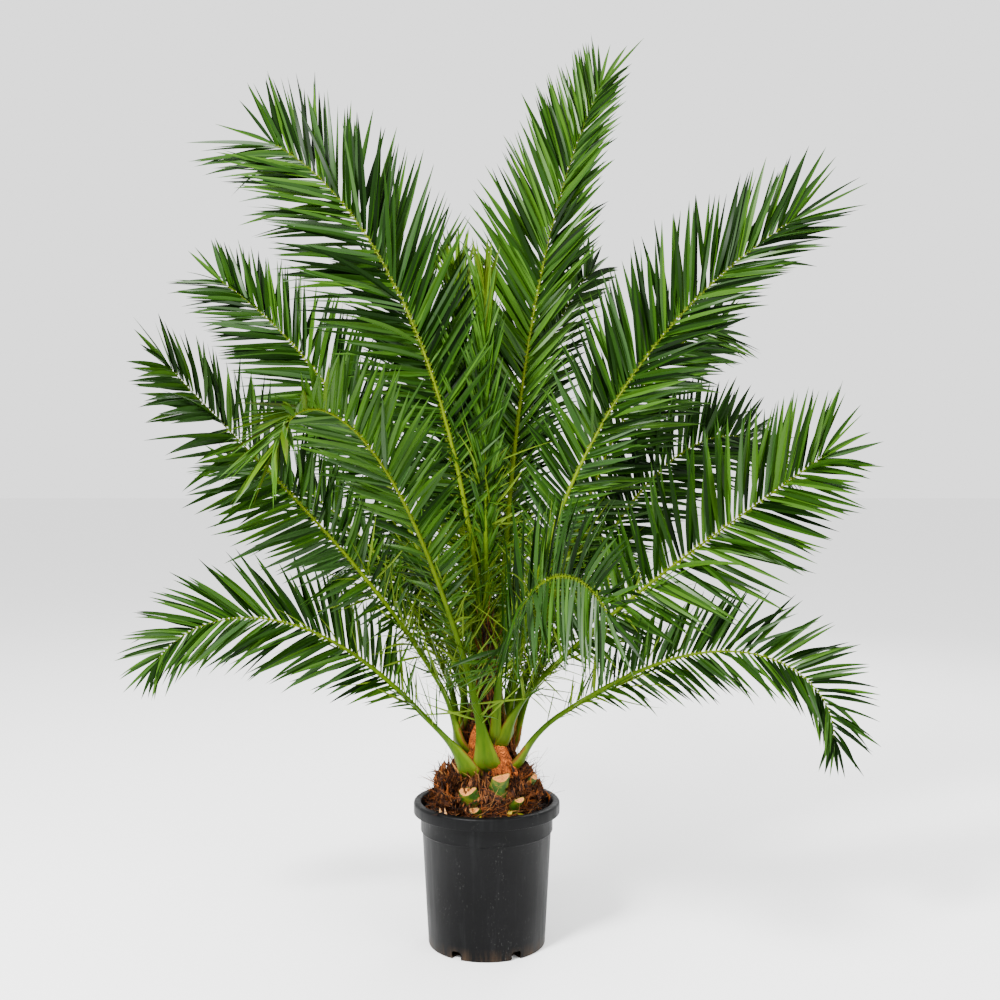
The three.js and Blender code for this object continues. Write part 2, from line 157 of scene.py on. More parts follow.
class Finish:
    """A material in the making: its nodes, and the shader that they feed."""

    def __init__(self, name, roughness, gloss):
        self.material = bpy.data.materials.new(name)
        self.material.use_nodes = True
        self.tree = self.material.node_tree
        self.shader = self.tree.nodes["Principled BSDF"]
        self.shader.inputs["Roughness"].default_value = roughness
        self.shader.inputs["Specular IOR Level"].default_value = gloss

    def add(self, kind, **values):
        """A shader node of this kind. A value is a source to join, or a number or a choice to set."""
        node = self.tree.nodes.new("ShaderNode" + kind)
        for name, value in values.items():
            socket = node.inputs.get(name.replace("_", " "))
            if socket is None:
                setattr(node, name, value)
            elif isinstance(value, bpy.types.NodeSocket):
                self.tree.links.new(value, socket)
            else:
                socket.default_value = value
        return node

    def feed(self, name, source):
        self.tree.links.new(source, self.shader.inputs[name])

    def attribute(self, name, output="Fac"):
        return self.add("Attribute", attribute_name=name).outputs[output]

    def place(self):
        """The piece's own coordinates."""
        return self.add("TexCoord").outputs["Object"]

    def noise(self, scale, detail, stretch=(1, 1, 1), rough=0.6):
        """Noise on the piece's own coordinates, drawn out along an axis where stretch is small."""
        drawn = self.add("Mapping", Vector=self.place(), Scale=stretch).outputs["Vector"]
        return self.add("TexNoise", Vector=drawn, Scale=scale, Detail=detail, Roughness=rough).outputs["Fac"]

    def ramp(self, source, stops):
        """Turns a number into a colour by stops of (place, colour)."""
        node = self.add("ValToRGB", Fac=source)
        band = node.color_ramp
        while len(band.elements) < len(stops):
            band.elements.new(0.5)
        for element, (place, colour) in zip(band.elements, stops):
            element.position = place
            element.color = (*colour, 1)
        return node.outputs["Color"]

    def remap(self, source, low, high, to_low, to_high):
        node = self.add("MapRange", Value=source, From_Min=low, From_Max=high, To_Min=to_low, To_Max=to_high)
        return node.outputs["Result"]

    def blend(self, share, under, over):
        """Lays the colour over, as much as share says, on the colour under."""
        node = self.add("Mix", data_type="RGBA", Factor=share)
        self.tree.links.new(under, node.inputs[6])
        node.inputs[7].default_value = (*over, 1)
        return node.outputs[2]

    def times(self, first, second):
        node = self.add("Math", operation="MULTIPLY")
        self.tree.links.new(first, node.inputs[0])
        self.tree.links.new(second, node.inputs[1])
        return node.outputs[0]

    def bump(self, height, strength, distance):
        node = self.add("Bump", Height=height, Strength=strength, Distance=distance)
        self.feed("Normal", node.outputs["Normal"])


def plain(name, colour, roughness, gloss=0.25):
    """A material of one base colour, for the many small leaves that carry no pattern."""
    skin = Finish(name, roughness, gloss)
    skin.shader.inputs["Base Color"].default_value = (*colour, 1)
    return skin.material


def pot_plastic():
    """Black moulded plastic, scuffed upright by handling, greyer where it is worn and dusty at its foot."""
    skin = Finish("pot_plastic", 0.45, 0.08)
    cloud = skin.noise(9, 4)
    scuffs = skin.noise(60, 5, (1, 1, 0.09), 0.7)
    specks = skin.noise(260, 3, (1, 1, 0.5), 0.8)
    patches = skin.noise(22, 3, (1, 1, 0.6))
    base = skin.ramp(cloud, [(0.3, (0.0010, 0.0011, 0.0012)), (0.7, (0.0023, 0.0024, 0.0026))])
    scuffed = skin.blend(skin.remap(scuffs, 0.52, 0.75, 0, 0.55), base, (0.0085, 0.0088, 0.0092))
    worn = skin.times(skin.remap(specks, 0.60, 0.70, 0, 0.8), skin.remap(patches, 0.48, 0.62, 0, 1))
    flecked = skin.blend(worn, scuffed, (0.045, 0.046, 0.043))
    height = skin.add("SeparateXYZ", Vector=skin.place()).outputs["Z"]
    dust = skin.times(skin.remap(height, 0.0, 0.03, 0.9, 0.0), skin.remap(scuffs, 0.4, 0.65, 0, 1))
    skin.feed("Base Color", skin.blend(dust, flecked, (0.040, 0.024, 0.013)))
    skin.feed("Roughness", skin.remap(scuffs, 0.3, 0.7, 0.34, 0.56))
    skin.bump(scuffs, 0.25, 0.0008)
    return skin.material


def soil_mix():
    skin = Finish("potting_soil", 0.95, 0.15)
    grain = skin.noise(160, 8)
    skin.feed("Base Color", skin.ramp(grain, [(0.3, (0.003, 0.002, 0.0015)), (0.55, (0.014, 0.007, 0.004)),
                                              (0.75, (0.05, 0.025, 0.012))]))
    skin.bump(grain, 0.8, 0.003)
    return skin.material


def trunk_fibre():
    """Matted brown fibre whose strands run up the trunk."""
    skin = Finish("trunk_fibre", 0.9, 0.15)
    strands = skin.noise(260, 6, (1, 1, 0.10), 0.7)
    patches = skin.noise(26, 3)
    colour = skin.ramp(strands, [(0.40, (0.003, 0.001, 0.0005)), (0.54, (0.022, 0.006, 0.002)),
                                 (0.68, (0.12, 0.034, 0.007))])
    shade = skin.remap(patches, 0.40, 0.65, 0, 0.8)
    skin.feed("Base Color", skin.blend(shade, colour, (0.006, 0.003, 0.002)))
    skin.bump(strands, 0.9, 0.003)
    return skin.material


def fibre_cloth(name, gap, middle, bright, turn, scale, shaded):
    """The woven orange-brown cloth that wraps each leaf's foot: slanting strands with darker gaps."""
    skin = Finish(name, 0.8, 0.2)
    weave = skin.attribute("weave", "Vector")
    slanted = skin.add("Mapping", Vector=weave, Rotation=(0, 0, turn), Scale=scale).outputs["Vector"]
    strands = skin.add("TexNoise", Vector=slanted, Scale=1.0, Detail=3.0, Roughness=0.5).outputs["Fac"]
    patches = skin.noise(40, 3)
    colour = skin.ramp(strands, [(0.40, gap), (0.52, middle), (0.64, bright)])
    skin.feed("Base Color", skin.blend(skin.remap(patches, 0.45, 0.65, 0, shaded), colour, gap))
    skin.bump(strands, 0.9, 0.0012)
    return skin.material


def rib_skin():
    """Smooth green skin: bright at the clasping foot, green up the stalk, yellower out along the rib."""
    skin = Finish("rib_skin", 0.40, 0.06)
    reach = skin.attribute("share")
    colour = skin.ramp(skin.remap(reach, 0, 1.2, 0, 1), [
        (0.0, (0.036, 0.042, 0.0002)), (0.03, (0.046, 0.084, 0.0002)), (0.10, (0.036, 0.076, 0.0003)),
        (0.25, (0.095, 0.168, 0.0010)), (0.45, (0.135, 0.190, 0.0012)), (1.0, (0.165, 0.195, 0.0012))])
    streaks = skin.noise(110, 4, (1, 1, 0.08))
    colour = skin.blend(skin.remap(streaks, 0.42, 0.75, 0, 0.6), colour, (0.014, 0.048, 0.0005))
    # From the sheath's middle to its edge: a darker spine, a light band and a dry brown margin
    side = skin.attribute("margin")
    for low, high, from_share, to_share, tint in (
            (0.0, 0.25, 0.35, 0, (0.010, 0.040, 0.0004)),
            (0.55, 0.85, 0, 0.5, (0.110, 0.150, 0.004)),
            (0.90, 0.99, 0, 0.9, (0.12, 0.035, 0.008))):
        colour = skin.blend(skin.remap(side, low, high, from_share, to_share), colour, tint)
    skin.feed("Base Color", colour)
    skin.bump(streaks, 0.12, 0.001)
    return skin.material


def stub_skin():
    """Green leaf foot, going yellow and brown where it is torn or dry."""
    skin = Finish("stub_skin", 0.5, 0.3)
    cloud = skin.noise(55, 5)
    skin.feed("Base Color", skin.ramp(cloud, [(0.3, (0.006, 0.028, 0.0006)), (0.5, (0.018, 0.055, 0.0008)),
                                              (0.62, (0.085, 0.10, 0.003)), (0.74, (0.04, 0.014, 0.004))]))
    skin.bump(cloud, 0.3, 0.002)
    return skin.material


def stub_cut():
    """The pale sawn face of a leaf stub, with its strands showing as darker dots."""
    skin = Finish("stub_cut", 0.75, 0.2)
    dots = skin.noise(420, 2)
    cloud = skin.noise(70, 3)
    colour = skin.ramp(dots, [(0.34, (0.26, 0.07, 0.010)), (0.5, (0.52, 0.18, 0.034)),
                              (0.7, (0.68, 0.28, 0.07))])
    stain = skin.remap(cloud, 0.5, 0.75, 0, 0.6)
    skin.feed("Base Color", skin.blend(stain, colour, (0.36, 0.12, 0.025)))
    return skin.material


SKINS = {
    "pot": pot_plastic(),
    "soil": soil_mix(),
    "trunk": trunk_fibre(),
    "cloth": fibre_cloth("fibre_cloth", (0.012, 0.0034, 0.0010), (0.070, 0.020, 0.005),
                         (0.27, 0.088, 0.018), 0.5, (900, 60, 1), 0.6),
    # The wraps' orange is brighter than the cloths' and has few dark patches. It is the fibre's own orange,
    # brightened further as painted light for wraps that sit in the sheaths' shade.
    "wrap": fibre_cloth("fibre_wrap", (0.055, 0.011, 0.001), (0.30, 0.060, 0.004), (0.72, 0.165, 0.013),
                        0.3, (9, 170, 1), 0.2),
    "rib": rib_skin(),
    "stub": stub_skin(),
    "cut": stub_cut(),
}
# Plain base colours dealt out leaflet by leaflet, each with its roughness and gloss
TONES = {
    "black_green": ((0.0014, 0.0070, 0.0002), 0.45, 0.05),
    "deep": ((0.0028, 0.0130, 0.0002), 0.40, 0.06),
    "dark": ((0.0068, 0.0270, 0.0009), 0.42, 0.06),
    "mid": ((0.0145, 0.0480, 0.0020), 0.36, 0.12),
    "fresh": ((0.0280, 0.0800, 0.0032), 0.36, 0.14),
    "lime": ((0.0550, 0.1150, 0.0030), 0.42, 0.06),
    "olive": ((0.0380, 0.0620, 0.0015), 0.45, 0.06),
    "grey": ((0.0150, 0.0460, 0.0060), 0.40, 0.22),
    "wire": ((0.0850, 0.1420, 0.0070), 0.45, 0.08),
    "foot": ((0.0560, 0.0900, 0.0030), 0.50, 0.05),
}
TONE_ORDER = list(TONES)
TONE_SKINS = [plain(f"leaf_{tone}", *row) for tone, row in TONES.items()]
# The tone of a leaflet's lighter half, where it isn't the same as the other half's: painted light on one side
# of the fold, with the other half left darker as painted shade
PAINTED_LIGHT_TONES = {"black_green": "deep", "deep": "dark", "dark": "mid", "mid": "fresh", "olive": "lime"}
PAINTED_LIGHT_INDEX = np.array([TONE_ORDER.index(PAINTED_LIGHT_TONES.get(tone, tone)) for tone in TONE_ORDER])
CRUMBS = [
    plain("crumb_black", (0.004, 0.003, 0.002), 0.95),
    plain("crumb_brown", (0.022, 0.010, 0.005), 0.9),
    plain("crumb_bark", (0.065, 0.028, 0.011), 0.85),
    plain("crumb_pale", (0.36, 0.19, 0.075), 0.8),
]
CRUMB_SHARES = (0.55, 0.28, 0.10, 0.07)
THREADS = [
    plain("thread_dark", (0.012, 0.005, 0.003), 0.85),
    plain("thread_red", (0.070, 0.021, 0.006), 0.8, 0.1),
    plain("thread_orange", (0.20, 0.055, 0.010), 0.75, 0.1),
    plain("thread_tan", (0.34, 0.15, 0.045), 0.75, 0.1),
]
BIT_TONES = [
    plain("bit_yellow", (0.42, 0.30, 0.012), 0.6, 0.2),
    plain("bit_pale", (0.62, 0.34, 0.14), 0.7, 0.2),
    plain("bit_green", (0.20, 0.22, 0.006), 0.6, 0.2),
]

# ---------------------------------------------------------------- pieces


def seated(name, mesh, materials, nodes=()):
    """Puts a finished mesh into the scene as one piece of the plant."""
    for material in materials:
        mesh.materials.append(material)
    piece = bpy.data.objects.new(name, mesh)
    bpy.context.scene.collection.objects.link(piece)
    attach(piece, "root")
    if nodes:
        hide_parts(*nodes)
    return piece


def finished(bm, name):
    """A mesh from a bmesh, with its faces pointing out."""
    bmesh.ops.recalc_face_normals(bm, faces=bm.faces)
    mesh = bpy.data.meshes.new(name)
    bm.to_mesh(mesh)
    bm.free()
    mesh.shade_smooth()
    return mesh


def section(bm, place, along, side, half_width, half_thick, sides):
    """A ring of vertices round a place, in the plane across along."""
    up = along.cross(side).normalized()
    turn = Matrix((side * half_width, up * half_thick, along)).transposed().to_4x4()
    turn.translation = place
    ring = bmesh.ops.create_circle(bm, segments=sides, radius=1, matrix=turn)
    return ring["verts"]


def ring_edges(verts):
    inside = set(verts)
    return list({e for v in verts for e in v.link_edges if e.other_vert(v) in inside})


def skin_over(bm, rings):
    """Bridges ring after ring, and closes both ends."""
    edges = [ring_edges(ring) for ring in rings]
    bmesh.ops.contextual_create(bm, geom=rings[0])
    bmesh.ops.contextual_create(bm, geom=rings[-1])
    for first, second in zip(edges, edges[1:]):
        bmesh.ops.bridge_loops(bm, edges=first + second)


def spun(profile, steps):
    """A closed turned shape from a profile of (radius, height) points."""
    bm = bmesh.new()
    verts = [bm.verts.new((radius, 0, height)) for radius, height in profile]
    edges = [bm.edges.new(pair) for pair in zip(verts, verts[1:])]
    bmesh.ops.spin(bm, geom=verts + edges, axis=(0, 0, 1), cent=(0, 0, 0), dvec=(0, 0, 0),
                   angle=TAU, steps=steps, use_merge=True, use_duplicate=False)
    bmesh.ops.remove_doubles(bm, verts=bm.verts, dist=1e-5)
    return bm


# ---------------------------------------------------------------- pot


def wall_radius(height):
    share = min(height / (BRIM - POT.collar_drop), 1)
    return POT.foot + (POT.neck - POT.foot) * share


def arc(centre, radius, start, end, count):
    """Points of an arc in the (radius, height) plane."""
    turns = [math.radians(start + (end - start) * k / (count - 1)) for k in range(count)]
    return [(centre[0] + radius * math.cos(a), centre[1] + radius * math.sin(a)) for a in turns]


def pot_profile():
    under = BRIM - POT.lip_drop
    step = BRIM - POT.collar_drop
    r = POT.lip_round
    inner = POT.collar - POT.wall
    hem_round, edge = POT.hem_round, POT.edge_round
    lip = arc((LIP_RADIUS - r, BRIM - r), r, 0, 90, 7)
    hem = arc((LIP_RADIUS - hem_round, under + hem_round), hem_round, -90, 0, 4)
    mouth = arc((POT.mouth, BRIM - edge), edge, 90, 180, 5)
    foot = arc((POT.foot - edge, edge), edge, -90, 0, 4)
    return [
        (0, 0), *foot, (wall_radius(0.1), 0.1), (wall_radius(step - 0.001), step - 0.001),
        (POT.neck + 0.0004, step - 0.0003), (POT.collar - 0.0005, step + POT.collar_step - 0.0005),
        (POT.collar, step + POT.collar_step), (POT.collar, under - 0.0015), (POT.collar + 0.001, under),
        *hem, *lip, *mouth, (inner, under), (inner, step + POT.collar_step),
        (POT.neck - POT.wall, step), (wall_radius(POT.floor) - POT.wall, POT.floor), (0, POT.floor),
    ]


def notch_cutter():
    """Upright slots with round upper corners, set round the pot's foot."""
    bm = bmesh.new()
    size = Matrix.Diagonal((NOTCH.depth, NOTCH.width, 2 * NOTCH.height, 1))
    reach = Matrix.Translation((POT.foot + 0.005 - NOTCH.depth / 2, 0, 0))
    for k in range(NOTCH.count):
        turn = Matrix.Rotation(math.radians(NOTCH.first + 360 / NOTCH.count * k), 4, "Z")
        made = bmesh.ops.create_cube(bm, size=1, matrix=turn @ reach @ size)["verts"]
        outward = turn @ Vector((1, 0, 0))
        top = [e for e in ring_edges(made) if all(v.co.z > 0 for v in e.verts)
               and abs((e.verts[0].co - e.verts[1].co).normalized().dot(outward)) > 0.9]
        bmesh.ops.bevel(bm, geom=top, offset=NOTCH.round, segments=4, profile=0.5, affect="EDGES",
                        material=-1)
    mesh = bpy.data.meshes.new("notches")
    bm.to_mesh(mesh)
    bm.free()
    return bpy.data.objects.new("notches", mesh)


def cut_away(mesh, cutter):
    """The mesh less the cutter, as a new mesh."""
    body = bpy.data.objects.new("body", mesh)
    for thing in (body, cutter):
        bpy.context.scene.collection.objects.link(thing)
    less = body.modifiers.new("less", "BOOLEAN")
    less.object = cutter
    less.operation = "DIFFERENCE"
    less.solver = "MANIFOLD"
    bpy.context.view_layer.update()
    made = bpy.data.meshes.new_from_object(body.evaluated_get(bpy.context.evaluated_depsgraph_get()))
    bpy.data.objects.remove(body)
    bpy.data.objects.remove(cutter)
    return made


def make_pot():
    shell = finished(spun(pot_profile(), POT.steps), "pot_shell")
    mesh = cut_away(shell, notch_cutter())
    mesh.materials.clear()
    mesh.shade_smooth()
    mesh.set_sharp_from_angle(angle=math.radians(35))
    seated("nursery_pot", mesh, [SKINS["pot"]], ["pot"])


# ---------------------------------------------------------------- soil


def soil_height(x, y):
    """Height of the soil's uneven surface, lower by the wall than under the plant."""
    radius = math.hypot(x, y)
    rough = noise.fractal(Vector((x, y, 0.3)) * 38, 0.8, 2.1, 4) * 0.005
    return SOIL_TOP - 0.004 + rough - 0.004 * max(radius - 0.1, 0) / 0.04


def make_soil():
    edge, neck, inner = (radius - POT.wall - SOIL.gap
                         for radius in (POT.collar, POT.neck, wall_radius(POT.floor)))
    top = [(edge * k / SOIL.rings, SOIL_TOP) for k in range(SOIL.rings + 1)]
    step = BRIM - POT.collar_drop
    under = POT.floor + SOIL.gap / 2
    profile = [*top, (edge, step + POT.collar_step), (neck, step), (inner, 0.026), (inner - 0.02, 0.012),
               (inner - 0.024, under), (0, under)]
    bm = spun(profile, SOIL.steps)
    for vert in bm.verts:
        if vert.co.z > SOIL_TOP - 1e-4:
            vert.co.z = soil_height(vert.co.x, vert.co.y)
    seated("soil_bed", finished(bm, "soil_bed"), [SKINS["soil"]], ["soil"])


# ---------------------------------------------------------------- many small things from one pattern


def pattern_of(bm):
    """A small mesh as arrays: its vertices, and its faces as lists of vertex numbers."""
    bm.verts.ensure_lookup_table()
    points = np.array([v.co for v in bm.verts])
    faces = [[v.index for v in f.verts] for f in bm.faces]
    bm.free()
    return points, faces


def scattered(name, points, faces, tones, sharp=None):
    """One mesh of many copies: points is (copies, vertices, 3), and tones is a number for each copy."""
    copies, size, _ = points.shape
    offsets = np.arange(copies) * size
    everything = [[v + shift for v in face] for shift in offsets.tolist() for face in faces]
    mesh = bpy.data.meshes.new(name)
    mesh.from_pydata(points.reshape(-1, 3).tolist(), [], everything)
    mesh.shade_smooth()
    mesh.polygons.foreach_set("material_index", np.asarray(tones, dtype=np.int32).reshape(-1))
    if sharp is not None:
        mark_sharp(mesh, size, sharp)
    return mesh


def mark_sharp(mesh, size, fold):
    """Keeps each leaflet's middle fold crisp: an edge is sharp where both its ends lie on the fold."""
    ends = np.zeros(len(mesh.edges) * 2, dtype=np.int32)
    mesh.edges.foreach_get("vertices", ends)
    on_fold = np.isin(ends % size, fold).reshape(-1, 2).all(1)
    flags = mesh.attributes.new("sharp_edge", "BOOLEAN", "EDGE")
    flags.data.foreach_set("value", on_fold)


def crumb_pattern():
    bm = bmesh.new()
    bmesh.ops.create_icosphere(bm, subdivisions=1, radius=1)
    return pattern_of(bm)


def unit(vectors):
    return vectors / np.linalg.norm(vectors, axis=-1, keepdims=True)


def turned(first, second, angle):
    """The first of two square directions, turned towards the second by an angle."""
    angle = angle[..., None]
    return first * np.cos(angle) + second * np.sin(angle)


def eased(share):
    """A share from 0 to 1 that starts and ends gently."""
    return share * share * (3 - 2 * share)


def turns(dice, count):
    """Random rotation matrices."""
    q = dice.normal(size=(count, 4))
    q /= np.linalg.norm(q, axis=1, keepdims=True)
    w, x, y, z = q.T
    return np.array([
        [1 - 2 * (y * y + z * z), 2 * (x * y - z * w), 2 * (x * z + y * w)],
        [2 * (x * y + z * w), 1 - 2 * (x * x + z * z), 2 * (y * z - x * w)],
        [2 * (x * z - y * w), 2 * (y * z + x * w), 1 - 2 * (x * x + y * y)],
    ]).transpose(2, 0, 1)


def make_crumbs():
    """Bark chips and crumbs of peat that lie on the soil."""
    dice = np.random.default_rng(SEED + 1)
    count = COUNTS.crumbs
    shape, faces = crumb_pattern()
    angle = dice.uniform(0, TAU, count)
    radius = np.sqrt(dice.uniform(0.06, 1, count)) * (POT.collar - 0.011)
    x, y = radius * np.cos(angle), radius * np.sin(angle)
    z = np.array([soil_height(a, b) for a, b in zip(x, y)])
    size = dice.lognormal(math.log(0.0033), 0.45, count).clip(0.0014, 0.009)
    squash = np.stack([size, size * dice.uniform(0.4, 0.9, count), size * dice.uniform(0.25, 0.5, count)],
                      axis=1)
    jitter = 1 + dice.normal(0, 0.18, (count, len(shape), 1))
    local = shape[None] * squash[:, None] * jitter
    spin = turns(dice, count)
    placed = np.einsum("nij,nvj->nvi", spin, local) + np.stack([x, y, z + 0.3 * size], 1)[:, None]
    tone = dice.choice(len(CRUMBS), count, p=CRUMB_SHARES)
    mesh = scattered("soil_crumbs", placed, faces, np.repeat(tone, len(faces)))
    mesh.shade_flat()
    seated("soil_crumbs", mesh, CRUMBS)


# ---------------------------------------------------------------- trunk, stubs and fibre


def trunk_radius(height):
    heights, radii = zip(*TRUNK_OUTLINE)
    return float(np.interp(height - SOIL_TOP, heights, radii))


def core_radius(height):
    """The fibrous core's radius: slimmer than the trunk above its foot, where sheaths make up the rest."""
    slimmed = min(max(height - SOIL_TOP - CORE.above, 0) / CORE.over, 1)
    return trunk_radius(height) * (1 - CORE.slim * slimmed)


def make_trunk():
    """The short trunk: old leaf feet pressed together under matted fibre that runs upward in ridges."""
    tall = TRUNK_HIGH.z - TRUNK_LOW.z
    foot = SOIL_TOP - TRUNK.sunk
    heights = [foot + tall * k / TRUNK.levels for k in range(TRUNK.levels + 1)]
    side = [(core_radius(height), height) for height in heights]
    bm = spun([(0, foot), *side, (0, foot + tall + 0.004)], TRUNK.steps)
    for vert in bm.verts:
        radius = math.hypot(vert.co.x, vert.co.y)
        if radius < 1e-5:
            continue
        turn = math.atan2(vert.co.y, vert.co.x)
        level = (vert.co.z - SOIL_TOP) / TRUNK.level
        lobes = TRUNK.lobe_depth * math.cos(TRUNK.lobes * turn + TRUNK.lobe_lean * level)
        ridge = noise.fractal(Vector((math.cos(turn) * 9, math.sin(turn) * 9, vert.co.z * 14)), 0.9, 2, 4)
        share = 1 + lobes + TRUNK.ridge_depth * ridge
        vert.co.x *= share
        vert.co.y *= share
    seated("trunk_core", finished(bm, "trunk_core"), [SKINS["trunk"]], ["trunk"])


def make_stub(number, row):
    """The thick foot of an old leaf, sawn off: a hollow-backed green body with a pale cut face."""
    azimuth, height, length, width, lean = row
    turn, tilt = math.radians(azimuth), math.radians(lean)
    out = Vector((math.cos(turn), math.sin(turn), 0))
    side = Vector((-math.sin(turn), math.cos(turn), 0))
    along = (out * math.sin(tilt) + Vector((0, 0, 1)) * math.cos(tilt)).normalized()
    seat = SOIL_TOP + height + 0.006
    start = out * (trunk_radius(seat) - 0.35 * width)
    start.z = seat
    inward = side.cross(along)
    if inward.dot(out) > 0:
        inward.negate()
    bm = bmesh.new()
    rings = []
    for share, wide in STUB_RINGS:
        half = width / 2 * wide
        ring = section(bm, start + along * length * share, along, side, half, half * 0.5, 24)
        for vert in ring:
            across = (vert.co - start).dot(side) / (width / 2)
            vert.co += inward * width * 0.16 * across * across
            if share == 1.0:
                vert.co += along * (0.10 * across * width - 0.9 * max((start - vert.co).dot(inward), 0) * 0.4)
        rings.append(ring)
    skin_over(bm, rings)
    bm.faces.ensure_lookup_table()
    cap = max(bm.faces, key=lambda f: (f.calc_center_median() - start).dot(along))
    bmesh.ops.inset_individual(bm, faces=[cap], thickness=0.0011, depth=0.0)
    bmesh.ops.inset_individual(bm, faces=[cap], thickness=0.003, depth=-0.0008)
    rim = {f for v in cap.verts for f in v.link_faces}
    for face in rim:
        face.material_index = 1
    centre = start + along * length * 0.5
    for vert in bm.verts:
        wave = noise.fractal(vert.co * 55 + Vector((number * 3, 0, 0)), 0.8, 2, 4)
        vert.co += (vert.co - centre).normalized() * 0.0022 * wave
    mesh = finished(bm, f"leaf_stub_{number}")
    mesh.set_sharp_from_angle(angle=math.radians(40))
    seated(f"leaf_stub_{number}", mesh, [SKINS["stub"], SKINS["cut"]], [f"stub_{number}"])


# ---------------------------------------------------------------- fronds


def read_frond(number, row):
    frond = SimpleNamespace(number=number, **dict(zip(COLUMNS, row)))
    shares = (np.arange(RIB_STEPS) + 0.5) / RIB_STEPS
    steps = direction_at(frond, shares) * frond.length / RIB_STEPS
    turn = math.radians(frond.azimuth)
    foot = np.array([frond.foot_radius * math.cos(turn), frond.foot_radius * math.sin(turn),
                     SOIL_TOP + frond.foot_height])
    frond.line = np.vstack([foot, foot + np.cumsum(steps, axis=0)])
    frond.nodes = [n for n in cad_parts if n.startswith(f"frond_{number:02d}")]
    return frond


def slope_at(frond, s):
    lift = frond.lift * np.maximum(1 - s / LIFT_SHARE, 0) ** 2
    return np.radians(frond.rise + lift - frond.droop * s**frond.power)


def heading_at(frond, s):
    return np.radians(frond.azimuth + frond.swing * s**HEADING_POWER)


def direction_at(frond, s):
    slope, heading = slope_at(frond, s), heading_at(frond, s)
    return np.stack([np.cos(slope) * np.cos(heading), np.cos(slope) * np.sin(heading), np.sin(slope)], -1)


def rib_point(frond, s):
    shares = np.linspace(0, 1, RIB_STEPS + 1)
    return np.stack([np.interp(s, shares, frond.line[:, k]) for k in range(3)], -1)


def frame_at(frond, s):
    """The rib's own axes: along it, to its side, and out of the leaf's upper face."""
    along = direction_at(frond, s)
    heading = heading_at(frond, s)
    flat_side = np.stack([np.sin(heading), -np.cos(heading), np.zeros_like(heading)], -1)
    flat_face = np.cross(flat_side, along)
    roll = np.radians(frond.roll) * eased(np.clip((s - ROLL_FROM) / ROLL_OVER, 0, 1))
    return along, turned(flat_side, flat_face, roll), turned(flat_face, -flat_side, roll)


def clasp_of(frond):
    """Azimuth, height above the soil and share of the full width of the frond's clasp on the trunk."""
    return CLASPS.get(frond.number, (frond.azimuth, frond.foot_height - 0.012, 0.6))


def join_of(frond):
    """How far up the stalk it takes to reach the rib's own line."""
    return JOINS.get(frond.number, SHEATH.join)


def rib_width(s):
    return RIB.end_width + (RIB.foot_width - RIB.end_width) * (1 - s) ** RIB.taper


def stalk_point(frond, s):
    """The rib's centre line, led in one smooth curve down to where its sheath clasps the trunk."""
    azimuth, low, _ = clasp_of(frond)
    turn = math.radians(azimuth)
    radius = trunk_radius(SOIL_TOP + low) + SHEATH.proud
    foot = np.array([radius * math.cos(turn), radius * math.sin(turn), SOIL_TOP + low])
    end = np.float64(join_of(frond) / frond.length)
    head, way = rib_point(frond, end), direction_at(frond, end)
    span = np.linalg.norm(head - foot)
    upward = unit(np.array([0, 0, 1.0]) + 0.35 * way)
    t = np.clip(s / end, 0, 1)[..., None]
    curve = ((2 * t**3 - 3 * t**2 + 1) * foot + (t**3 - 2 * t**2 + t) * span * upward
             + (3 * t**2 - 2 * t**3) * head + (t**3 - t**2) * span * way)
    return np.where(t < 1, curve, rib_point(frond, s))


def stalk_side(frond, s):
    """The stalk's side direction, which lies along the trunk's surface at the clasp."""
    turn = math.radians(clasp_of(frond)[0])
    tangent = np.array([math.sin(turn), -math.cos(turn), 0])
    free = eased(np.clip(s * frond.length / join_of(frond), 0, 1))[..., None]
    return tangent * (1 - free) + frame_at(frond, s)[1] * free


def make_rib(frond):
    """The frond's stalk and rib: a wide clasping sheath, a stout stalk and a tapering rib."""
    bm = bmesh.new()
    stored = bm.verts.layers.float.new("share")
    margin = bm.verts.layers.float.new("margin")
    azimuth, _, wide = clasp_of(frond)
    inward = Vector((-math.cos(math.radians(azimuth)), -math.sin(math.radians(azimuth)), 0))
    near = np.linspace(0, join_of(frond) / frond.length, 20)
    shares = np.concatenate([near, np.linspace(near[-1], 1, 44)[1:]])
    centres = stalk_point(frond, shares)
    ahead = stalk_point(frond, np.minimum(shares + 0.004, 1))
    behind = stalk_point(frond, np.maximum(shares - 0.004, 0))
    rings = []
    for s, centre, along, side in zip(shares, centres, unit(ahead - behind), stalk_side(frond, shares)):
        along, side = Vector(along), Vector(side)
        side = (side - along * side.dot(along)).normalized()
        reach = s * frond.length
        clasp = max(1 - reach / SHEATH.length, 0) ** 1.6
        width = rib_width(s) + SHEATH.width * wide * clasp
        thick = RIB.foot_thick + (RIB.end_thick - RIB.foot_thick) * min(s * RIB.thinning, 1)
        thick += SHEATH.thick * clasp
        sunk = max(1 - reach / SHEATH.tuck, 0) ** 2
        centre = Vector(centre) + inward * sunk * SHEATH.depth - Vector((0, 0, 1)) * sunk * SHEATH.drop
        ring = section(bm, centre, along, side, width / 2, thick / 2, 20)
        up = side.cross(along)
        for vert in ring:
            across = (vert.co - centre).dot(side) / (width / 2)
            vert.co += up * (SHEATH.curl * width * clasp * across * across)
            vert[stored] = reach
            vert[margin] = abs(across) * min(clasp * 3, 1)
        rings.append(ring)
    skin_over(bm, rings)
    seated(f"frond_{frond.number:02d}_rib", finished(bm, "rib"), [SKINS["rib"]],
           frond.nodes)


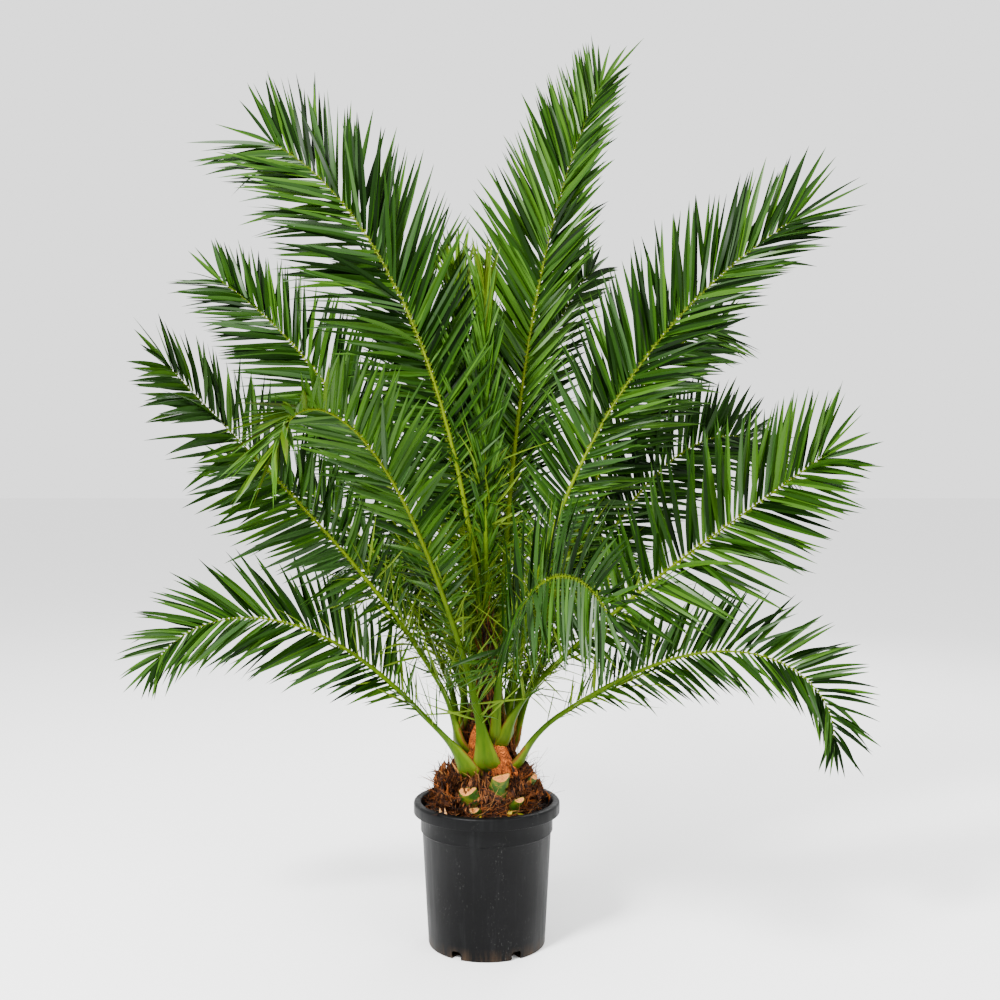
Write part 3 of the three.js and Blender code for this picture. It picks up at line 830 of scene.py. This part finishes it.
def leaflet_pattern():
    """One leaflet as a strip: x is -1 to 1 across at full width, and y is 0 to 1 along to its point."""
    bm = bmesh.new()
    bmesh.ops.create_grid(bm, x_segments=2, y_segments=LEAFLET.rows, size=0.5)
    for vert in bm.verts:
        along = (vert.co.y + 0.5) ** 1.6
        wide = (0.50 + 0.50 * min(along / 0.30, 1) ** 0.8) * (1 - max(along - 0.3, 0) ** 1.7 / 0.7**1.7)
        vert.co = Vector((2 * vert.co.x * wide, along, 0))
    bmesh.ops.remove_doubles(bm, verts=bm.verts, dist=1e-4)
    return pattern_of(bm)


LEAFLET_POINTS, LEAFLET_FACES = leaflet_pattern()
LEAFLET_FOLD = np.where(np.abs(LEAFLET_POINTS[:, 0]) < 1e-6)[0]
FACE_REACH = np.array([LEAFLET_POINTS[face, 1].min() for face in LEAFLET_FACES])
FACE_SIDE = np.array([LEAFLET_POINTS[face, 0].sum() > 0 for face in LEAFLET_FACES])


def laid(leaves):
    """The vertices of many leaflets, folded, bent down by their weight and twisted a little."""
    across, share = LEAFLET_POINTS[:, 0], LEAFLET_POINTS[:, 1]
    direction = unit(leaves.direction)
    face = unit(leaves.face - direction * np.sum(leaves.face * direction, 1, keepdims=True))
    side = np.cross(direction, face)
    tilt = leaves.tilt[:, None] + leaves.twist[:, None] * share
    side_here = turned(side[:, None], face[:, None], tilt)
    face_here = turned(face[:, None], -side[:, None], tilt)
    fold = np.radians(LEAFLET.fold + (LEAFLET.open_fold - LEAFLET.fold) * share)[None, :, None]
    across, share = across[None, :, None], share[None, :, None]
    fall = np.array([0, 0, -1.0]) + direction * direction[:, 2:3]
    line = direction[:, None] * share + (fall * leaves.bend[:, None])[:, None] * share**2.2
    line += (leaves.forward * leaves.curve[:, None])[:, None] * share**2
    spread = across * np.cos(fold) * side_here + np.abs(across) * np.sin(fold) * face_here
    return (leaves.base[:, None] + line * leaves.length[:, None, None]
            + spread * leaves.half_width[:, None, None])


def reach_at(frond, u):
    """Leaflet length at share u of the leafy part."""
    grow = np.minimum(EARLY.get(frond.number, GROWTH.start) + GROWTH.slope * u, 1)
    fade = 1 - (1 - frond.tip_share) * np.maximum(2 * u - 1, 0) ** 1.8
    return frond.leaflet * grow * fade


def row_of_leaflets(frond, sign, dice):
    """The leaflets down one side of a frond."""
    count = round(frond.length * (1 - BLADE.start) / LEAFLET.pitch)
    u = (np.arange(count) + 0.5 + dice.uniform(-VARY.place, VARY.place, count)) / count
    s = BLADE.start + (1 - BLADE.start) * u
    along, side, face = frame_at(frond, s)
    opening = frond.open * WIDER.get((frond.number, sign), 1)
    angle = np.radians(opening * (BLADE.spread - BLADE.close * u**1.3) + dice.normal(0, VARY.angle, count))
    plane = PLANES[np.arange(count) % 3] * (1 - 0.6 * u)
    lift = np.radians(BLADE.vee + plane + dice.normal(0, VARY.lift, count))
    stray = dice.random(count) < STRAYS.share
    angle -= stray * np.radians(dice.uniform(0, STRAYS.angle, count))
    lift += stray * np.radians(dice.uniform(-STRAYS.lift, STRAYS.lift, count))
    direction = turned(along, turned(sign * side, face, lift), angle)
    direction[:, 2] += LEAN.get((frond.number, sign), 0)
    uneven = UNEVEN.get((frond.number, sign), 1)
    length = reach_at(frond, u) * uneven * (1 + dice.normal(0, VARY.length, count))
    sag = 0.10 if frond.number in LOW_FRONDS else 0.05
    return SimpleNamespace(
        base=rib_point(frond, s) + sign * side * (rib_width(s) * 0.35)[:, None],
        direction=direction, face=turned(face, -sign * side, lift), forward=along, length=length,
        half_width=(LEAFLET.half_width * (length / 0.19) ** 0.4 * (0.45 + 0.55 * np.minimum(u / 0.15, 1))
                    * SLENDER.get((frond.number, sign), 1) * dice.uniform(0.82, 1.15, count)),
        bend=dice.normal(sag, VARY.bend, count) + STRAYS.bend * stray,
        curve=dice.normal(0.02, VARY.curve, count),
        tilt=np.radians(-sign * 12 + dice.normal(0, VARY.tilt, count)),
        twist=np.radians(dice.normal(0, VARY.twist, count)),
        tone=dealt(frond, sign, u, dice), wiry=np.zeros(count, bool))


def tip_leaflets(frond, dice):
    """The last few leaflets, which carry on beyond the rib's end."""
    count = len(TIPS)
    end = np.ones(count)
    along, side, face = frame_at(frond, end)
    angle = np.radians(TIPS + dice.normal(0, 2, count))
    direction = turned(along, side, angle)
    direction += face * dice.normal(0, 0.08, (count, 1))
    reach = frond.leaflet * frond.tip_share * TIP_REACH.get(frond.number, 1)
    return SimpleNamespace(
        base=rib_point(frond, end), direction=direction, face=face, forward=along,
        length=reach * dice.uniform(0.85, 1.1, count),
        half_width=LEAFLET.half_width * dice.uniform(0.6, 0.9, count), bend=dice.normal(0.05, 0.03, count),
        curve=dice.normal(0, 0.02, count), tilt=dice.normal(0, 0.4, count), twist=dice.normal(0, 0.2, count),
        tone=dealt(frond, 1, end, dice), wiry=np.zeros(count, bool))


def row_of_wires(frond, sign, dice):
    """The thin wiry leaflets low on the stalk, which point every way."""
    low = frond.number in LOW_FRONDS
    count = WIRES.low_count if low else WIRES.count
    s = dice.uniform(WIRES.start, WIRES.end, count) / frond.length
    along, side, face = frame_at(frond, s)
    angle = np.radians(dice.uniform(18, 95, count))
    lift = np.radians(dice.normal(10, 38, count))
    direction = turned(along, turned(sign * side, face, lift), angle)
    direction[:, 2] += dice.uniform(0.3, 1.3, count) if low else dice.uniform(-0.2, 0.6, count)
    length = dice.uniform(0.07, 0.16, count) if low else dice.uniform(0.05, 0.16, count)
    return SimpleNamespace(
        base=stalk_point(frond, s) + sign * side * RIB.foot_width * 0.4,
        direction=direction, face=face, forward=along, length=length,
        half_width=dice.uniform(0.0015, 0.0034, count), bend=dice.normal(0.05, 0.10, count),
        curve=dice.normal(0, 0.08, count), tilt=dice.uniform(-1, 1, count), twist=dice.normal(0, 0.5, count),
        tone=dice.choice([TONE_ORDER.index(tone) for tone in ("wire", "fresh", "mid", "olive")],
                         count, p=[0.50, 0.30, 0.12, 0.08]),
        wiry=np.ones(count, bool))


# What share of each frond's leaflets has which tone
SHARES = {
    "green": {"black_green": 0.14, "deep": 0.28, "dark": 0.30, "mid": 0.17, "fresh": 0.03, "grey": 0.08},
    "bright": {"black_green": 0.04, "deep": 0.14, "dark": 0.32, "mid": 0.34, "fresh": 0.12, "grey": 0.04},
    "inner": {"deep": 0.08, "dark": 0.28, "mid": 0.38, "fresh": 0.22, "grey": 0.04},
    "shade": {"black_green": 0.38, "deep": 0.38, "dark": 0.24},
    "lime": {"mid": 0.2, "fresh": 0.35, "lime": 0.25, "olive": 0.2},
    "pale": {"deep": 0.06, "dark": 0.2, "mid": 0.24, "grey": 0.5},
    # Painted shade: mostly deep and dark tones, for a row that stands in the shade of the others
    "shaded_row": {"black_green": 0.1, "deep": 0.4, "dark": 0.35, "mid": 0.15},
    "first": {"wire": 0.3, "fresh": 0.4, "mid": 0.3},
}
LOOKS = {2: "bright", 5: "shade", 6: "bright", 11: "inner", 13: "inner", 14: "inner"}
# Fronds whose last leaflets are still lime green, from this share of the leafy part on
YOUNG_FROM = {11: 0.76, 13: 0.85, 14: 0.85}
# A row that looks its own way up to this share: 1 is the right row seen from above, -1 the left
# F12's left row takes darker tones as painted shade
ROW_LOOKS = {(3, 1): ("pale", 0.4), (9, -1): ("pale", 1), (12, 1): ("pale", 1), (12, -1): ("shaded_row", 1)}
FIRST = 0.13  # the share whose short leaflets are as pale as the wiry ones
# A row that is shorter or longer than the other
UNEVEN = {
    (1, 1): 1.08, (2, 1): 0.78, (2, -1): 1.02, (3, 1): 0.76, (6, 1): 1.06, (6, -1): 1.12, (7, 1): 0.85,
    (9, 1): 0.9, (9, -1): 1.2, (12, 1): 1.1, (15, 1): 0.7, (15, -1): 1.1,
}
TIP_REACH = {2: 1.3}  # fronds whose last leaflets are longer
# Rows pulled up or down, and rows of narrower leaflets
LEAN = {(7, -1): 0.38, (7, 1): -0.12, (8, 1): 0.12, (8, -1): -0.10, (12, -1): 0.55, (12, 1): -0.35}
SLENDER = {(7, -1): 0.88, (7, 1): 0.82, (8, -1): 0.92, (8, 1): 0.92, (12, 1): 0.72, (12, -1): 0.95}
# A row that opens wider or closer than the other
WIDER = {(1, -1): 1.28, (1, 1): 0.95, (2, -1): 1.12, (2, 1): 0.85, (9, -1): 1.15, (10, -1): 1.2}


def dealt(frond, sign, u, dice):
    """A tone for each leaflet, by its frond, its row and its share u of the leafy part."""
    def picked(look):
        shares = SHARES[look]
        numbers = [TONE_ORDER.index(tone) for tone in shares]
        return dice.choice(numbers, len(u), p=list(shares.values()))
    tones = picked(LOOKS.get(frond.number, "green"))
    look, until = ROW_LOOKS.get((frond.number, sign), ("pale", 0))
    tones = np.where(u < until, picked(look), tones)
    tones = np.where(u < FIRST, picked("first"), tones)
    return np.where(u > YOUNG_FROM.get(frond.number, 2), picked("lime"), tones)


def gathered(rows):
    """Several rows of leaflets as one."""
    keys = vars(rows[0])
    return SimpleNamespace(**{key: np.concatenate([getattr(row, key) for row in rows]) for key in keys})


def make_leaflets(frond):
    dice = np.random.default_rng(SEED * 100 + frond.number)
    rows = [row_of_leaflets(frond, sign, dice) for sign in (-1, 1)]
    rows += [row_of_wires(frond, sign, dice) for sign in (-1, 1)]
    rows.append(tip_leaflets(frond, dice))
    leaves = gathered(rows)
    foot = TONE_ORDER.index("foot")
    is_foot = (FACE_REACH[None] < LEAFLET.pale_foot) & ~leaves.wiry[:, None]
    # Painted light: the half of each leaflet on one side of its fold takes the lighter tone, as if lit. For a
    # quarter of them it is the other side.
    painted_lit_half = FACE_SIDE[None] ^ (dice.random(len(leaves.tone)) < 0.25)[:, None]
    tones = np.where(painted_lit_half, PAINTED_LIGHT_INDEX[leaves.tone][:, None], leaves.tone[:, None])
    tones = np.where(is_foot, foot, tones)
    name = f"frond_{frond.number:02d}_leaflets"
    mesh = scattered(name, laid(leaves), LEAFLET_FACES, tones, LEAFLET_FOLD)
    seated(name, mesh, TONE_SKINS, frond.nodes)


# ---------------------------------------------------------------- fibre round the trunk

# Fibre cloths: azimuth, height of the lower edge above the soil, span in degrees, tallness, flare, proud
CLOTHS = [
    (306, 0.078, 62, 0.082, 0.000, 0.012),
    (240, 0.108, 54, 0.090, 0.000, 0.009),
    (222, 0.040, 34, 0.070, 0.016, 0.003),
    (202, 0.010, 40, 0.090, 0.022, 0.003),
    (318, 0.030, 30, 0.062, 0.016, 0.003),
    (342, 0.008, 40, 0.078, 0.016, 0.003),
    (262, 0.034, 60, 0.062, 0.003, 0.011),
    (325, 0.120, 50, 0.080, 0.004, 0.006),
    (180, 0.090, 60, 0.080, 0.006, 0.004),
    (15, 0.080, 60, 0.090, 0.006, 0.004),
    (62, 0.090, 60, 0.090, 0.006, 0.004),
    (112, 0.080, 60, 0.090, 0.006, 0.004),
    (156, 0.100, 60, 0.090, 0.006, 0.004),
    (318, 0.190, 70, 0.085, 0.003, 0.002),
    (262, 0.210, 60, 0.080, 0.003, 0.000),
    (205, 0.180, 70, 0.085, 0.003, 0.002),
    (90, 0.170, 90, 0.090, 0.004, 0.002),
]
CLOTH_GRID = (40, 12)  # how many columns and rows of vertices
# The wraps take the brighter wrap material, partly painted light against the sheaths' shade
WRAPS = 2  # the first of them are the bright ones that show between the sheaths in front
# What share of their height is whole, how much every other tooth keeps, how deep they crease and how much
# they narrow upward; then how far a wrap bulges, and how far its sides lie against the trunk
WRAP = SimpleNamespace(whole=0.9, tooth=0.9, crease=0.003, narrow=0, bulge=0.007, sides=0.016)
RAGGED = SimpleNamespace(whole=0.45, tooth=0.4, crease=0.005, narrow=0.35, bulge=0, sides=0)


def cloth_rows(dice):
    """The wraps of the table, and small torn flaps dealt out round the trunk's foot."""
    flaps = []
    for _ in range(COUNTS.flaps):
        azimuth = dice.uniform(0, 360)
        flare = dice.uniform(0.004, 0.014) + 0.014 * abs(math.cos(math.radians(azimuth)))
        flaps.append((azimuth, dice.uniform(-0.004, 0.062), dice.uniform(12, 30),
                      dice.uniform(0.030, 0.070), flare, 0.003))
    return CLOTHS + flaps


def make_cloths():
    """Ragged sheets of woven fibre round the feet of the fronds."""
    dice = np.random.default_rng(SEED + 2)
    bm = bmesh.new()
    weave = bm.verts.layers.float_vector.new("weave")
    across, up = CLOTH_GRID
    for number, (azimuth, low, span, tall, flare, proud) in enumerate(cloth_rows(dice)):
        kind = WRAP if number < WRAPS else RAGGED
        made = bmesh.ops.create_grid(bm, x_segments=across, y_segments=up, size=0.5)["verts"]
        for face in {f for vert in made for f in vert.link_faces}:
            face.material_index = int(kind is WRAP)
        broad = np.interp(np.arange(across + 1), np.linspace(0, across, 7), dice.uniform(kind.whole, 1, 7))
        teeth = broad * (kind.whole + 0.1 + (0.9 - kind.whole) * dice.beta(1.3, 1.0, across + 1))
        teeth[1::2] *= dice.uniform(kind.tooth, 1, across // 2)
        fringe = dice.beta(1.2, 2.2, across + 1) * 0.3
        lean = dice.uniform(-16, 16)
        for vert in made:
            u, v = vert.co.x + 0.5, vert.co.y + 0.5
            column = round(u * across)
            rise = (fringe[column] * (1 - v) + v * max(teeth[column], fringe[column] + 0.08)) * tall
            height = SOIL_TOP + low + rise
            crease = noise.fractal(Vector((u * 7, v * 2.5, number)), 0.8, 2, 3)
            turn = math.radians(azimuth + span * (u - 0.5) * (1 - kind.narrow * v) + lean * v)
            radius = core_radius(height) * 1.02 + proud + flare * v * v + crease * kind.crease
            radius += kind.bulge * math.sin(math.pi * v) - kind.sides * abs(2 * u - 1) ** 3
            vert.co = Vector((radius * math.cos(turn), radius * math.sin(turn), height))
            vert[weave] = Vector((u * math.radians(span) * 0.08, v * tall, number * 0.1))
    bmesh.ops.recalc_face_normals(bm, faces=bm.faces)
    seated("fibre_cloths", finished(bm, "fibre_cloths"), [SKINS["cloth"], SKINS["wrap"]])


def round_trunk(turn, height, share):
    """Points on the trunk's surface, with the outward and sideways directions there."""
    cos, sin, flat = np.cos(turn), np.sin(turn), np.zeros_like(turn)
    out, tangent = np.stack([cos, sin, flat], 1), np.stack([-sin, cos, flat], 1)
    radius = np.array([core_radius(h) for h in height]) * share
    base = out * radius[:, None]
    base[:, 2] = height
    return base, out, tangent


def strewn(dice, count, low, tall, crowding, share):
    """Random places round the trunk in a band above the soil, with their turns, heights and directions."""
    turn = dice.uniform(0, TAU, count)
    height = SOIL_TOP + low + tall * dice.beta(*crowding, count)
    return turn, height, *round_trunk(turn, height, share)


def strips(name, base, direction, face, length, half_width, bend, tones, dice):
    """Flat torn strips of fibre, laid as leaflets are."""
    count = len(base)
    torn = SimpleNamespace(
        base=base, direction=direction, face=face, forward=unit(dice.normal(size=(count, 3))), length=length,
        half_width=half_width, bend=bend, curve=dice.normal(0, 0.22, count), tilt=dice.normal(0, 0.5, count),
        twist=dice.normal(0, 1.2, count))
    tone = np.repeat(dice.choice(len(THREADS), count, p=tones), len(LEAFLET_FACES))
    mesh = scattered(name, laid(torn), LEAFLET_FACES, tone, LEAFLET_FOLD)
    seated(name, mesh, THREADS)


def make_tufts():
    """Shreds that stand out round the trunk's foot, longest at its left and right."""
    dice = np.random.default_rng(SEED + 5)
    count = COUNTS.tufts
    turn, height, base, out, tangent = strewn(dice, count, 0.004, 0.095, (1.2, 1.8), 0.97)
    wide = np.abs(np.cos(turn)) ** 2
    direction = out * dice.uniform(0.0, 0.35 + 0.35 * wide)[:, None]
    direction += tangent * dice.normal(0, 0.5, (count, 1))
    direction[:, 2] += dice.uniform(0.1, 1.2, count)
    length = dice.uniform(0.016, 0.030 + 0.024 * wide)
    length *= 0.55 + 0.45 * np.minimum((height - SOIL_TOP) / 0.03, 1)
    strips("fibre_tufts", base, direction, out, length, length * dice.uniform(0.02, 0.13, count),
           dice.normal(0.1, 0.4, count), (0.36, 0.38, 0.20, 0.06), dice)


def make_flakes():
    """Broad torn flakes of old leaf feet, which stand up most at the left and right of the foot."""
    dice = np.random.default_rng(SEED + 9)
    count = COUNTS.flakes
    centre = dice.choice([194.0, 344.0, 90.0], count, p=[0.42, 0.30, 0.28])
    turn = np.radians(centre + dice.normal(0, 1, count) * np.where(centre == 90, 60, 18))
    height = SOIL_TOP + 0.004 + 0.066 * dice.beta(1.0, 1.2, count)
    base, out, tangent = round_trunk(turn, height, 1)
    direction = out * dice.uniform(0.05, 0.75, (count, 1)) + tangent * dice.normal(0, 0.35, (count, 1))
    direction[:, 2] += 0.8
    length = dice.uniform(0.024, 0.052, count)
    strips("fibre_flakes", base, direction, out, length, dice.uniform(0.0018, 0.0050, count),
           dice.normal(0.05, 0.4, count), (0.30, 0.42, 0.22, 0.06), dice)


def make_shreds():
    """Dark shreds that run up the trunk between the leaf stalks and end above it."""
    dice = np.random.default_rng(SEED + 6)
    count = COUNTS.shreds
    _, _, base, out, tangent = strewn(dice, count, 0.07, 0.30, (1.1, 1.1), 0.92)
    direction = out * dice.uniform(-0.1, 0.08, (count, 1)) + tangent * dice.normal(0, 0.16, (count, 1))
    direction[:, 2] += 1
    length = dice.uniform(0.03, 0.11, count)
    strips("fibre_shreds", base, direction, out, length, dice.uniform(0.0006, 0.0022, count),
           dice.normal(0.0, 0.08, count), (0.40, 0.34, 0.20, 0.06), dice)


def thread_pattern():
    """A thin three-sided thread one unit long along +Y, pointed at its end."""
    bm = bmesh.new()
    rings = []
    for k in range(7):
        share = k / 6
        place = Vector((0, share, 0))
        width = 1 - 0.8 * share
        rings.append(section(bm, place, Vector((0, 1, 0)), Vector((1, 0, 0)), width, width, 3))
    skin_over(bm, rings)
    return pattern_of(bm)


def threads(name, base, direction, length, width, wander, tones, dice):
    """Many threads: each leaves its base along its direction and curls away to the side."""
    shape, faces = thread_pattern()
    direction = unit(direction)
    side = unit(np.cross(direction, unit(dice.normal(size=direction.shape))))
    up = np.cross(direction, side)
    share = shape[:, 1]
    phase = dice.uniform(0, TAU, len(base))
    curl = wander[:, None] * share**2
    wave = wander[:, None] * 0.3 * np.sin(share[None] * 7 + phase[:, None]) * share[None]
    line = (direction[:, None] * share[None, :, None] + side[:, None] * curl[..., None]
            + up[:, None] * wave[..., None]) * length[:, None, None]
    around = side[:, None] * shape[None, :, 0:1] + up[:, None] * shape[None, :, 2:3]
    points = base[:, None] + line + around * width[:, None, None]
    reach = np.linalg.norm(points[..., :2], axis=-1)
    held = np.where(points[..., 2] < BRIM + 0.002, np.minimum(1, (POT.collar - 0.009) / reach), 1)
    points[..., :2] *= held[..., None]
    points[..., 2] = np.maximum(points[..., 2], SOIL_TOP - 0.006)
    tone = np.repeat(dice.choice(len(THREADS), len(base), p=tones), len(faces))
    seated(name, scattered(name, points, faces, tone), THREADS)


def make_trunk_threads():
    """Loose hairs that stand out of the fibre round the trunk."""
    dice = np.random.default_rng(SEED + 3)
    count = COUNTS.hairs
    _, _, base, out, tangent = strewn(dice, count, 0.006, 0.26, (1.0, 3.0), 1.03)
    direction = out * dice.uniform(0.0, 0.4, (count, 1)) + tangent * dice.normal(0, 0.8, (count, 1))
    direction[:, 2] += dice.normal(0.35, 0.5, count)
    threads("trunk_threads", base, direction, dice.uniform(0.014, 0.052, count),
            dice.uniform(0.0004, 0.0011, count), dice.normal(0, 1.2, count).clip(-1.3, 1.3),
            (0.18, 0.32, 0.34, 0.16), dice)


def make_soil_threads():
    """Fine dead roots and fibre that lie tangled on the soil."""
    dice = np.random.default_rng(SEED + 4)
    count = COUNTS.roots
    turn = dice.uniform(0, TAU, count)
    radius = dice.uniform(0.07, 0.128, count)
    base = np.stack([radius * np.cos(turn), radius * np.sin(turn), np.zeros(count)], 1)
    base[:, 2] = [soil_height(x, y) + 0.002 for x, y in base[:, :2]]
    base[:, 2] += dice.uniform(0, 0.010, count)
    direction = dice.normal(0, 1, (count, 3)) * (1, 1, 0.14)
    direction -= base * (1, 1, 0) * (9 * (radius[:, None] > 0.105))
    threads("soil_threads", base, direction, dice.uniform(0.02, 0.06, count),
            dice.uniform(0.0004, 0.0013, count), dice.normal(0, 0.35, count), (0.46, 0.28, 0.14, 0.12), dice)


def make_coils():
    """Brown roots and strands that curl round the trunk's foot and over the soil in front of it."""
    dice = np.random.default_rng(SEED + 7)
    count = COUNTS.coils
    _, _, base, out, tangent = strewn(dice, count, 0, 0.075, (0.9, 2.2), 1.06)
    sense = dice.choice([-1.0, 1.0], (count, 1))
    direction = tangent * sense + out * dice.uniform(-0.1, 0.35, (count, 1))
    direction[:, 2] += dice.normal(0.05, 0.3, count)
    threads("fibre_coils", base, direction, dice.uniform(0.03, 0.085, count),
            dice.uniform(0.0005, 0.0015, count), dice.normal(0, 0.55, count), (0.50, 0.32, 0.12, 0.06), dice)


# Bits that lie or stand on the soil: azimuth, distance from the middle, height, length, width, tone
BITS = [
    (296, 0.108, 0.004, 0.022, 0.0060, 0),
    (303, 0.100, 0.002, 0.020, 0.0050, 0),
    (318, 0.124, 0.004, 0.020, 0.0060, 0),
    (312, 0.119, 0.003, 0.016, 0.0040, 2),
    (258, 0.112, 0.001, 0.020, 0.0055, 2),
    (262, 0.118, 0.001, 0.015, 0.0045, 0),
    (226, 0.122, 0.004, 0.018, 0.0040, 1),
    (220, 0.126, 0.006, 0.015, 0.0035, 1),
    (276, 0.131, 0.001, 0.014, 0.0030, 0),
]


def make_bits():
    """Torn yellow leaf bits and pale chips on the soil."""
    dice = np.random.default_rng(SEED + 8)
    azimuth, radius, height, length, width, tone = np.array(BITS).T
    turn = np.radians(azimuth)
    base = np.stack([radius * np.cos(turn), radius * np.sin(turn), SOIL_TOP + height], 1)
    count = len(BITS)
    direction = dice.normal(0, 0.5, (count, 3)) + (0, 0, 0.9)
    face = np.tile([0.0, -1.0, 0.3], (count, 1))
    bits = SimpleNamespace(base=base, direction=direction, face=face, forward=unit(face), length=length,
                           half_width=width, bend=np.full(count, 0.3), curve=np.full(count, 0.2),
                           tilt=dice.normal(0, 0.3, count), twist=dice.normal(0, 0.5, count))
    tones = np.repeat(tone.astype(int), len(LEAFLET_FACES))
    mesh = scattered("torn_bits", laid(bits), LEAFLET_FACES, tones, LEAFLET_FOLD)
    seated("torn_bits", mesh, BIT_TONES)


# ---------------------------------------------------------------- the studio

SKY_STRENGTH = 1.9
# Lamps: place, aim, width and power
LAMPS = {
    "key": ((-2.2, -3.0, 4.0), (0, 0, 0.9), 1.2, 820),
    "fill": ((3.0, -2.6, 2.4), (0, 0, 0.9), 2.4, 120),
    "rim": ((1.2, 3.0, 3.4), (0, 0, 1.1), 2.0, 200),
}
CAMERA = SimpleNamespace(place=(0.029, -2.78, 1.064), aim=(0.029, 0, 0.970), lens=46.0)


def make_floor():
    bm = bmesh.new()
    bmesh.ops.create_grid(bm, x_segments=1, y_segments=1, size=30)
    floor = bpy.data.objects.new("floor", finished(bm, "floor"))
    floor.data.materials.append(plain("studio_floor", (0.9, 0.9, 0.9), 0.9))
    bpy.context.scene.collection.objects.link(floor)


def aimed(thing, place, aim):
    """Stands a lamp or the camera at a place and turns it to its aim."""
    holder = bpy.data.objects.new(thing.name, thing)
    holder.location = place
    holder.rotation_euler = (Vector(aim) - holder.location).to_track_quat("-Z", "Y").to_euler()
    bpy.context.scene.collection.objects.link(holder)
    return holder


def make_studio():
    make_floor()
    world = bpy.data.worlds.new("studio")
    world.use_nodes = True
    sky = world.node_tree.nodes["Background"]
    sky.inputs["Color"].default_value = (1, 1, 1, 1)
    sky.inputs["Strength"].default_value = SKY_STRENGTH
    bpy.context.scene.world = world
    for name, (place, aim, size, power) in LAMPS.items():
        light = bpy.data.lights.new(name, "AREA")
        light.shape = "DISK"
        light.size = size
        light.energy = power
        aimed(light, place, aim)
    camera = aimed(bpy.data.cameras.new("camera"), CAMERA.place, CAMERA.aim)
    camera.data.lens = CAMERA.lens
    bpy.context.scene.camera = camera


# ---------------------------------------------------------------- everything in its place
make_studio()
make_pot()
make_soil()
make_crumbs()
make_trunk()
for number, row in enumerate(STUBS, 1):
    make_stub(number, row)
make_cloths()
make_tufts()
make_flakes()
make_shreds()
make_trunk_threads()
make_soil_threads()
make_coils()
make_bits()
for number, row in enumerate(FRONDS, 1):
    palm_frond = read_frond(number, row)
    make_rib(palm_frond)
    make_leaflets(palm_frond)
